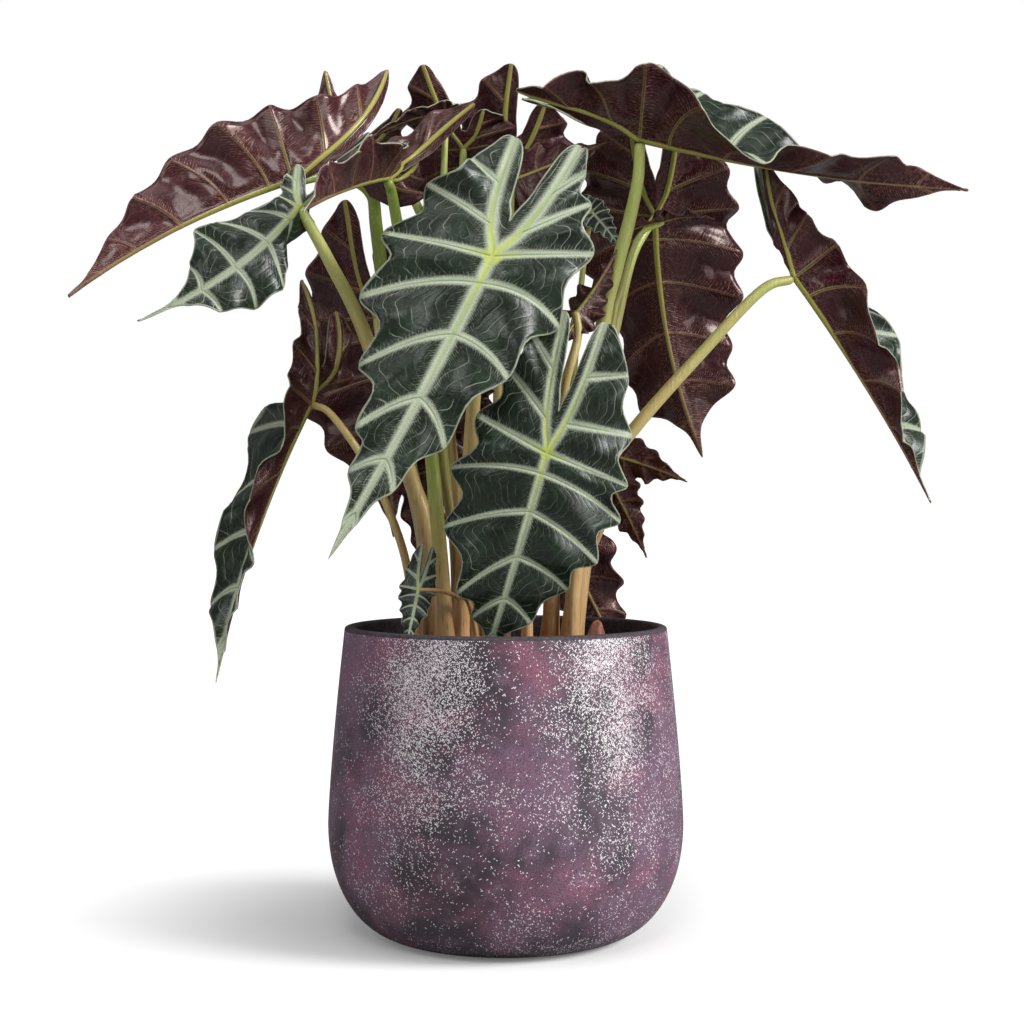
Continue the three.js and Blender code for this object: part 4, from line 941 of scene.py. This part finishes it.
def leaf_underside_finish(effects, settings):
    material, tree, shader = surface("Leaf underside")
    flat = leaf_place(tree)
    values = [leaf_value(tree, name) for name in LEAF_VALUES]
    rib, vein, margin, run, reach, tone, gloss_and_painted_sheen = values
    broad = cloud(tree, flat, 0.4, 3.0)
    fine = cloud(tree, flat, 4.0, 4.0, 0.6)
    base = paint(tree, ramp(tree, broad, 0.3, 0.7), settings.underside_shade, settings.underside_colour)
    colour = paint(tree, ramp(tree, fine, 0.45, 0.8, 0.0, 0.5), base, settings.underside_light_and_sheen)
    # A glossier leaf gets a lighter maroon here: a painted sheen, not the leaf's own colour.
    colour = paint(tree, times(tree, gloss_and_painted_sheen, 0.3), colour, settings.underside_light_and_sheen)

    small, hairs = leaf_skin(tree, effects, flat, values, 6.5, (14.0, 11.0), 0.72)
    colour = paint(tree, times(tree, small["Mask"], 0.2), colour, settings.hair_colour)
    colour = paint(tree, hairs, colour, settings.hair_colour)

    twin = maths(tree, "ABSOLUTE", maths(tree, "SUBTRACT", vein, 0.5))
    twin = ramp(tree, twin, 0.05, 0.24, 1.0, 0.0)
    side_mask = most(tree, twin, ramp(tree, vein, 0.2, 0.6, 0.3, 0.0))
    green = times(tree, times(tree, ramp(tree, reach, 6.0, 70.0, 1.0, 0.15), tone), 0.8)
    side_tint = paint(tree, green, settings.side_rib_colour, settings.rib_colour)
    faded = ramp(tree, run, 0.1, 1.0, 0.85, 0.35)
    colour = paint(tree, times(tree, side_mask, faded), colour, side_tint)
    rib_half = ramp(tree, reach, 0.0, 110.0, 1.5, 0.5)
    rib_mask = ramp(tree, maths(tree, "SUBTRACT", rib, rib_half), -0.3, 0.35, 0.9, 0.0)
    rib_mask = times(tree, rib_mask, ramp(tree, reach, 110.0, 165.0, 1.0, 0.3))
    strong = ramp(tree, tone, 0.0, 0.8, 0.6, 1.0)
    rib_green = times(tree, ramp(tree, reach, 20.0, 130.0, 1.0, 0.3), strong)
    rib_tint = paint(tree, rib_green, settings.side_rib_colour, settings.rib_colour)
    colour = paint(tree, rib_mask, colour, rib_tint)
    colour = paint(tree, ramp(tree, margin, 0.2, 0.8, 0.5, 0.0), colour, settings.underside_rim)

    height = times_plus(tree, small["Height"], 0.22, times(tree, fine, 0.28))
    height = times_plus(tree, hairs, 0.12, height)
    look = {
        "Base Color": colour, "Roughness": times_plus(tree, fine, 0.14, 0.22),
        "Specular IOR Level": 0.4, "Specular Tint": (1, 0.74, 0.66, 1),
        "Coat Weight": times(tree, gloss_and_painted_sheen, 0.7), "Coat Roughness": 0.17, "Coat Tint": (1, 0.9, 0.87, 1),
    }
    dress(tree, shader, look, height, 0.7, 1.1)
    return material


def stalk_finish(settings):
    material, tree, shader = surface("Stalk skin")
    place = object_place(tree)
    height = leaf_value(tree, "height")
    tone = leaf_value(tree, "tone")
    drift = cloud(tree, stretch(tree, place, (40, 40, 9)), 1.0, 3.0)
    level = times_plus(tree, drift, 90.0, maths(tree, "SUBTRACT", height, 45.0))
    level = times_plus(tree, tone, 40.0, level)
    colour = paint(tree, ramp(tree, level, 205.0, 370.0), settings.stalk_foot, settings.stalk_middle)
    colour = paint(tree, ramp(tree, level, 370.0, 520.0), colour, settings.stalk_top)
    green = times(tree, leaf_value(tree, "green"), ramp(tree, height, 200.0, 330.0, 0.0, 1.0))
    colour = paint(tree, green, colour, settings.stalk_green)
    streaks = cloud(tree, stretch(tree, place, (420, 420, 60)), 1.0, 3.0, 0.6)
    flecks = ramp(tree, streaks, 0.56, 0.68)
    low = ramp(tree, level, 420.0, 220.0, 0.12, 0.55)
    colour = paint(tree, times(tree, flecks, low), colour, settings.stalk_fleck)
    lines = cloud(tree, stretch(tree, place, (900, 900, 12)), 1.0, 2.0)
    colour = paint(tree, ramp(tree, lines, 0.5, 0.8, 0.0, 0.35), colour, settings.stalk_line)
    look = {
        "Base Color": colour, "Roughness": times_plus(tree, streaks, 0.2, 0.28), "Coat Weight": 0.1,
        "Subsurface Weight": 0.08, "Subsurface Radius": (3 * MM, 3 * MM, 1 * MM),
    }
    dress(tree, shader, look, times_plus(tree, lines, 0.6, streaks), 0.5, 0.6)
    return material


def dry_finish(settings):
    material, tree, shader = surface("Dry sheath")
    place = object_place(tree)
    grain = cloud(tree, stretch(tree, place, (500, 500, 50)), 1.0, 4.0, 0.6)
    colour = paint(tree, ramp(tree, grain, 0.3, 0.7), settings.dry_shade, settings.dry_colour)
    dress(tree, shader, {"Base Color": colour, "Roughness": 0.6}, grain, 0.8, 0.6)
    return material


def soil_finish(settings):
    material, tree, shader = surface("Potting soil")
    place = object_place(tree)
    crumbs = cells(tree, place, 320.0)["Distance"]
    grain = cloud(tree, place, 700.0, 4.0, 0.7)
    # The soil is painted darker in the hollows between the crumbs, where they sink: painted shade.
    colour = paint(tree, ramp(tree, crumbs, 0.1, 0.7), settings.soil_light, settings.soil_painted_shade)
    bark = ramp(tree, cloud(tree, place, 90.0, 2.0), 0.6, 0.7)
    colour = paint(tree, times(tree, bark, 0.6), colour, settings.soil_bark)
    height = times_plus(tree, grain, 0.6, maths(tree, "SUBTRACT", 1.0, crumbs))
    dress(tree, shader, {"Base Color": colour, "Roughness": 0.95}, height, 1.0, 1.6)
    return material


# The flecks are rods. These are the ways they lie, their width and length as cells to the metre, and how
# far they bend, in millimetres.
FLECK_WAYS = ((0.8, 0.3, 0.5), (-0.5, 0.7, 0.6), (0.2, -0.8, 0.5), (0.45, 0.4, -0.85))
FLECK_CELLS = (1250, 1250, 330)
FLECK_BEND = 2.2


def fleck_group():
    """Short bright rods that lie all ways in the glaze, as a mask."""
    group, given, result = effect(
        "Bright flecks",
        [("Place", VECTOR, None), ("Amount", NUMBER, 0.5)],
        [("Mask", NUMBER)],
    )
    swirl = node(group, "ShaderNodeTexNoise", {"Vector": given["Place"], "Scale": 260.0}).outputs["Color"]
    swirl = move(group, "MULTIPLY", swirl, (FLECK_BEND * MM,) * 3)[0]
    bent = move(group, "ADD", given["Place"], swirl)[0]
    found = None
    for way in FLECK_WAYS:
        turn = Vector(way).rotation_difference(Vector((0, 0, 1))).to_euler()
        turned = stretch(group, bent, (1, 1, 1), tuple(turn))
        rods = cells(group, stretch(group, turned, FLECK_CELLS), 1.0)
        lot = node(group, "ShaderNodeSeparateColor", {0: rods["Color"]}).outputs[0]
        there = maths(group, "LESS_THAN", lot, given["Amount"])
        mask = times(group, ramp(group, rods["Distance"], 0.3, 0.42, 1.0, 0.0), there)
        found = mask if found is None else most(group, found, mask)
    group.links.new(found, result["Mask"])
    return group


# The flecks are thickest in these bands: degrees round from the front, weight and narrowness. The two front
# bands lie where the lights' highlights fall, so the flecks there are partly real and partly a painted
# highlight.
FLECK_AND_HIGHLIGHT_BANDS = ((-27, 1.0, 34), (36, 1.0, 26), (100, 0.8, 20), (165, 0.9, 24), (232, 0.8, 18))


# How thick the flecks lie: denser in the bands and towards the top, where the front bands are partly a
# painted highlight.
def fleck_and_highlight_amount(tree, place):
    x, y, z = parts(tree, place)
    way = move(tree, "NORMALIZE", joined(tree, x, y))[0]
    bands = None
    for turn, weight, narrow in FLECK_AND_HIGHLIGHT_BANDS:
        aim = (math.sin(math.radians(turn)), -math.cos(math.radians(turn)), 0)
        facing = most(tree, move(tree, "DOT_PRODUCT", way, aim)["Value"], 0.0)
        band = times(tree, maths(tree, "POWER", facing, float(narrow)), weight)
        bands = band if bands is None else most(tree, bands, band)
    high = ramp(tree, z, 0.06, 0.19, 0.06, 1.0)
    drift = cloud(tree, place, 32.0, 3.0)
    amount = times(tree, bands, high)
    amount = times(tree, amount, ramp(tree, drift, 0.3, 0.6, 0.45, 1.0))
    return times_plus(tree, amount, 0.7, ramp(tree, drift, 0.4, 0.75, 0.01, 0.13))


def pot_finish(flecks, settings):
    material, tree, shader = surface("Pot glaze")
    place = object_place(tree)
    patches = cloud(tree, stretch(tree, place, (17, 17, 13)), 1.0, 5.0, 0.6, 0.4)
    blush = cloud(tree, stretch(tree, place, (19, 19, 24), (0.3, 0.2, 0.9)), 1.0, 4.0, 0.55, 0.5)
    grain = cloud(tree, place, 1300.0, 2.0, 0.7)
    colour = paint(tree, ramp(tree, patches, 0.38, 0.62), settings.pot_dark, settings.pot_mauve)
    colour = paint(tree, ramp(tree, blush, 0.46, 0.74, 0.0, 0.85), colour, settings.pot_pink)
    light = ramp(tree, cloud(tree, place, 60.0, 4.0, 0.6), 0.5, 0.75, 0.0, 0.28)
    colour = paint(tree, light, colour, settings.pot_light)
    colour = paint(tree, ramp(tree, grain, 0.34, 0.62, 0.85, 0.0), colour, settings.pot_grain)
    # Bright flecks, denser where the highlights fall: partly a painted highlight.
    fleck = use(tree, flecks, {"Place": place, "Amount": fleck_and_highlight_amount(tree, place)})["Mask"]
    colour = paint(tree, times(tree, fleck, 0.9), colour, settings.pot_fleck)
    height = times_plus(tree, fleck, 0.5, times(tree, grain, 0.6))
    look = {"Base Color": colour, "Roughness": times_plus(tree, fleck, -0.2, 0.6)}
    dress(tree, shader, look, height, 0.6, 0.5)
    return material


def bare_clay_finish(settings):
    material, tree, shader = surface("Dark clay")
    place = object_place(tree)
    grain = cloud(tree, place, 500.0, 4.0, 0.65)
    broad = cloud(tree, place, 30.0, 3.0)
    colour = paint(tree, ramp(tree, grain, 0.3, 0.75), settings.clay_shade, settings.clay_colour)
    colour = paint(tree, ramp(tree, broad, 0.5, 0.75, 0.0, 0.5), colour, settings.pot_dark)
    dress(tree, shader, {"Base Color": colour, "Roughness": 0.8}, grain, 0.6, 0.6)
    return material


def colour_setting(name, description, code):
    return bpy.props.FloatVectorProperty(
        name=name, description=description, subtype="COLOR", size=3, min=0, max=1, default=tint(code)
    )


class LeafSettings(bpy.types.PropertyGroup):
    blade_thickness: bpy.props.FloatProperty(
        name="Blade thickness", description="Thickness of a blade between its veins",
        default=0.8 * MM, min=0.3 * MM, max=3 * MM, unit="LENGTH",
    )
    top_colour: colour_setting("Top", "Dark green of the upper side", "19281a")
    top_shade: colour_setting("Top shade", "Deepest green of the upper side", "0c140b")
    top_light: colour_setting("Top light", "Lighter green between small veins", "2e3e33")
    vein_colour: colour_setting("Vein", "Pale band along the veins", "b4bda4")
    joint_colour: colour_setting("Joint", "Yellow green where the veins meet", "a9b45c")
    core_colour: colour_setting("Rib core", "Green along the rib to the tip", "8f9f6a")
    groove_colour: colour_setting("Groove", "Thin groove in the middle of a vein", "55704c")
    underside_colour: colour_setting("Underside", "Maroon of the lower side", "320d18")
    underside_shade: colour_setting("Underside shade", "Deepest maroon", "1c080f")
    # Also painted over the glossier leaves as a lighter sheen.
    underside_light_and_sheen: colour_setting("Underside light", "Lighter maroon between small veins", "54262e")
    underside_rim: colour_setting("Underside rim", "Thin line at the margin", "7d5558")
    hair_colour: colour_setting("Hair lines", "Fine lines beside the ribs", "9c7060")
    side_rib_colour: colour_setting("Side rib", "Ribs of the lower side", "8c6653")
    rib_colour: colour_setting("Main rib", "Main rib of the lower side", "a2a350")


class StalkSettings(bpy.types.PropertyGroup):
    stalk_top: colour_setting("Stalk top", "Green under the blade", "b9c26c")
    stalk_middle: colour_setting("Stalk middle", "Pale yellow half way up", "c6ab70")
    stalk_foot: colour_setting("Stalk foot", "Brown at the soil", "b98d60")
    stalk_green: colour_setting("Stalk green", "Green of the youngest stalks", "7d9433")
    stalk_fleck: colour_setting("Stalk fleck", "Dark flecks in the skin", "5a3c26")
    stalk_line: colour_setting("Stalk line", "Light lines along the stalk", "e6dcb0")
    dry_colour: colour_setting("Dry sheath", "Dry sheath scale", "a5604c")
    dry_shade: colour_setting("Dry sheath shade", "Dark of the dry sheath scale", "5a3024")


class PotSettings(bpy.types.PropertyGroup):
    pot_mauve: colour_setting("Mauve", "Main colour of the pot", "7d5e75")
    pot_dark: colour_setting("Dark patches", "Dark grey patches", "382c38")
    pot_pink: colour_setting("Pink patches", "Pink patches", "9c5e74")
    pot_light: colour_setting("Light streaks", "Lighter clouds", "b392aa")
    pot_grain: colour_setting("Grain", "Fine dark grain of the glaze", "3a2e38")
    pot_fleck: colour_setting("Flecks", "Silver white flecks", "f4f0f2")
    clay_colour: colour_setting("Clay", "Inside of the pot", "544a52")
    clay_shade: colour_setting("Clay shade", "Dark of the inside", "2c272b")
    soil_light: colour_setting("Soil", "Light crumbs", "3a2c22")
    # Painted shade in the hollows between the crumbs.
    soil_painted_shade: colour_setting("Soil shade", "Dark between the crumbs", "0f0b09")
    soil_bark: colour_setting("Bark", "Bits of bark in the soil", "5a3f2a")


class StageSettings(bpy.types.PropertyGroup):
    sun_strength: bpy.props.FloatProperty(
        name="Sun", description="Strength of the main light", default=3.3, min=0, max=20
    )
    room_strength: bpy.props.FloatProperty(
        name="Room", description="Strength of the light from all round", default=0.14, min=0, max=5
    )
    floor_glow: bpy.props.FloatProperty(
        name="Floor glow", description="Share of the floor's light that is its own",
        default=0.1, min=0, max=1, subtype="FACTOR",
    )


class MASKPLANT_OT_pot(bpy.types.Operator):
    """Adds the glazed pot"""

    bl_idname = "mask_plant.pot"
    bl_label = "Pot"
    bl_options = {"REGISTER", "UNDO"}

    def execute(self, context):
        settings = context.scene.mask_plant_pot
        make_pot([pot_finish(fleck_group(), settings), bare_clay_finish(settings)])
        return {"FINISHED"}


class MASKPLANT_OT_soil(bpy.types.Operator):
    """Adds the potting soil"""

    bl_idname = "mask_plant.soil"
    bl_label = "Soil"
    bl_options = {"REGISTER", "UNDO"}

    def execute(self, context):
        make_soil([soil_finish(context.scene.mask_plant_pot)])
        return {"FINISHED"}


class MASKPLANT_OT_stalks(bpy.types.Operator):
    """Adds a stalk for each leaf"""

    bl_idname = "mask_plant.stalks"
    bl_label = "Stalks"
    bl_options = {"REGISTER", "UNDO"}

    def execute(self, context):
        skin = stalk_finish(context.scene.mask_plant_stalk)
        for entry in LEAVES:
            make_stalk(entry, [skin])
        return {"FINISHED"}


class MASKPLANT_OT_blades(bpy.types.Operator):
    """Adds the blade of each leaf"""

    bl_idname = "mask_plant.blades"
    bl_label = "Blades"
    bl_options = {"REGISTER", "UNDO"}

    def execute(self, context):
        settings = context.scene.mask_plant_leaf
        effects = {"line": feathered_line_group(), "hairs": hair_line_group(), "small": small_vein_group()}
        finishes = [leaf_top_finish(effects, settings), leaf_underside_finish(effects, settings)]
        for entry in LEAVES:
            make_blade(entry, settings, finishes)
        return {"FINISHED"}


class MASKPLANT_OT_dry_scale(bpy.types.Operator):
    """Adds the dry scale of an old sheath"""

    bl_idname = "mask_plant.dry_scale"
    bl_label = "Dry Scale"
    bl_options = {"REGISTER", "UNDO"}

    def execute(self, context):
        make_dry_scale([dry_finish(context.scene.mask_plant_stalk)])
        return {"FINISHED"}


class MASKPLANT_OT_stage(bpy.types.Operator):
    """Adds the floor, the lights and the camera"""

    bl_idname = "mask_plant.stage"
    bl_label = "Stage"
    bl_options = {"REGISTER", "UNDO"}

    def execute(self, context):
        settings = context.scene.mask_plant_stage
        make_floor(context.scene, settings)
        make_lights(context.scene, settings)
        make_camera(context.scene)
        return {"FINISHED"}


# The camera stands level with the leaves, in millimetres and in pixels of a square picture.
CAMERA_PLACE = (4.2, -1200, 290)
CAMERA_FOCUS = 1770
CAMERA_DROP = 9.6
PICTURE = 1024


SENSOR = 36

# The panels of light stand in metres and are watts strong.
PANELS = (
    ("Front panel", (-0.15, -1.3, 1.2), 0.4, 4.5),
    ("Left panel", (-1.2, -1.0, 1.1), 0.9, 7),
    ("Top panel", (-0.1, -0.3, 1.7), 1.2, 7),
    ("Right panel", (1.2, -1.1, 0.6), 0.7, 7),
)
SUN_PLACE = (1.5, -0.5, 1.15)
SUN_SPREAD = 24


def put_in(scene, name, data, place, target):
    """Puts in a light that points at a target."""
    item = bpy.data.objects.new(name, data)
    scene.collection.objects.link(item)
    item.location = place
    item.rotation_euler = (Vector(target) - item.location).to_track_quat("-Z", "Y").to_euler()


def make_floor(scene, settings):
    bm = bmesh.new()
    bmesh.ops.create_grid(bm, x_segments=1, y_segments=1, size=20)
    mesh = bpy.data.meshes.new("floor")
    bm.to_mesh(mesh)
    bm.free()
    floor = bpy.data.objects.new("floor", mesh)
    scene.collection.objects.link(floor)
    material = bpy.data.materials.new("White floor")
    tree = empty_tree(material)
    # Seen by the camera, part of the floor's light is its own, so that the shadow stays pale. Right of the
    # pot all of its light is its own, a painted light that takes the shadow away there.
    seen = node(tree, "ShaderNodeLightPath").outputs["Is Camera Ray"]
    tone = paint(tree, seen, (0.42, 0.42, 0.42), (0.95, 0.95, 0.95))
    matt = node(tree, "ShaderNodeBsdfDiffuse", {"Color": tone}).outputs[0]
    bright = node(tree, "ShaderNodeEmission", {"Color": (1, 1, 1, 1), "Strength": 1.15}).outputs[0]
    place = object_place(tree)
    glow = ramp(tree, move(tree, "LENGTH", place)["Value"], 0.12, 0.41, settings.floor_glow, 1.0)
    # Painted light: right of the pot the floor glows fully, so no shadow shows there.
    glow = most(tree, glow, ramp(tree, parts(tree, place)[0], 0.02, 0.26))
    mixed = node(tree, "ShaderNodeMixShader", {0: times(tree, seen, glow), 1: matt, 2: bright})
    node(tree, "ShaderNodeOutputMaterial", {"Surface": mixed.outputs[0]})
    mesh.materials.append(material)


def make_lights(scene, settings):
    world = bpy.data.worlds.new("White room")
    scene.world = world
    tree = empty_tree(world)
    seen = node(tree, "ShaderNodeLightPath").outputs["Is Camera Ray"]
    strength = times_plus(tree, seen, 1.0 - settings.room_strength, settings.room_strength)
    room = node(tree, "ShaderNodeBackground", {"Color": (1, 1, 1, 1), "Strength": strength})
    node(tree, "ShaderNodeOutputWorld", {"Surface": room.outputs[0]})

    sun = bpy.data.lights.new("Key sun", "SUN")
    sun.energy = settings.sun_strength
    sun.angle = math.radians(SUN_SPREAD)
    put_in(scene, "Key sun", sun, SUN_PLACE, (0, 0, 0.25))
    for name, place, size, power in PANELS:
        light = bpy.data.lights.new(name, "AREA")
        light.size = size
        light.energy = power
        put_in(scene, name, light, place, (0, 0, 0.35))


def make_camera(scene):
    camera = bpy.data.cameras.new("Camera")
    camera.sensor_width = SENSOR
    camera.lens = SENSOR * CAMERA_FOCUS / PICTURE
    camera.clip_end = 100
    stand = bpy.data.objects.new("Camera", camera)
    scene.collection.objects.link(stand)
    stand.location = [c * MM for c in CAMERA_PLACE]
    stand.rotation_euler = (math.pi / 2 - math.atan(CAMERA_DROP / CAMERA_FOCUS), 0, 0)
    scene.camera = stand
    scene.view_settings.view_transform = "Standard"


class MASKPLANT_PT_panel(bpy.types.Panel):
    """Adds the pieces of the plant one by one"""

    bl_idname = "MASKPLANT_PT_panel"
    bl_label = "Mask Plant"
    bl_space_type = "VIEW_3D"
    bl_region_type = "UI"
    bl_category = "Mask Plant"

    def draw(self, context):
        for operator in OPERATORS:
            self.layout.operator(operator.bl_idname)
        for group in SETTINGS:
            box = self.layout.box()
            settings = getattr(context.scene, group)
            for name in settings.__annotations__:
                box.prop(settings, name)


OPERATORS = (
    MASKPLANT_OT_stage,
    MASKPLANT_OT_pot,
    MASKPLANT_OT_soil,
    MASKPLANT_OT_stalks,
    MASKPLANT_OT_blades,
    MASKPLANT_OT_dry_scale,
)
SETTINGS = {
    "mask_plant_leaf": LeafSettings,
    "mask_plant_stalk": StalkSettings,
    "mask_plant_pot": PotSettings,
    "mask_plant_stage": StageSettings,
}
CLASSES = (*SETTINGS.values(), *OPERATORS, MASKPLANT_PT_panel)


def register():
    for item in CLASSES:
        bpy.utils.register_class(item)
    for name, group in SETTINGS.items():
        setattr(bpy.types.Scene, name, bpy.props.PointerProperty(type=group))


def unregister():
    for name in SETTINGS:
        delattr(bpy.types.Scene, name)
    for item in reversed(CLASSES):
        bpy.utils.unregister_class(item)


def main():
    register()
    bpy.ops.mask_plant.stage()
    bpy.ops.mask_plant.pot()
    bpy.ops.mask_plant.soil()
    bpy.ops.mask_plant.stalks()
    bpy.ops.mask_plant.blades()
    bpy.ops.mask_plant.dry_scale()


if __name__ == "__main__":
    main()
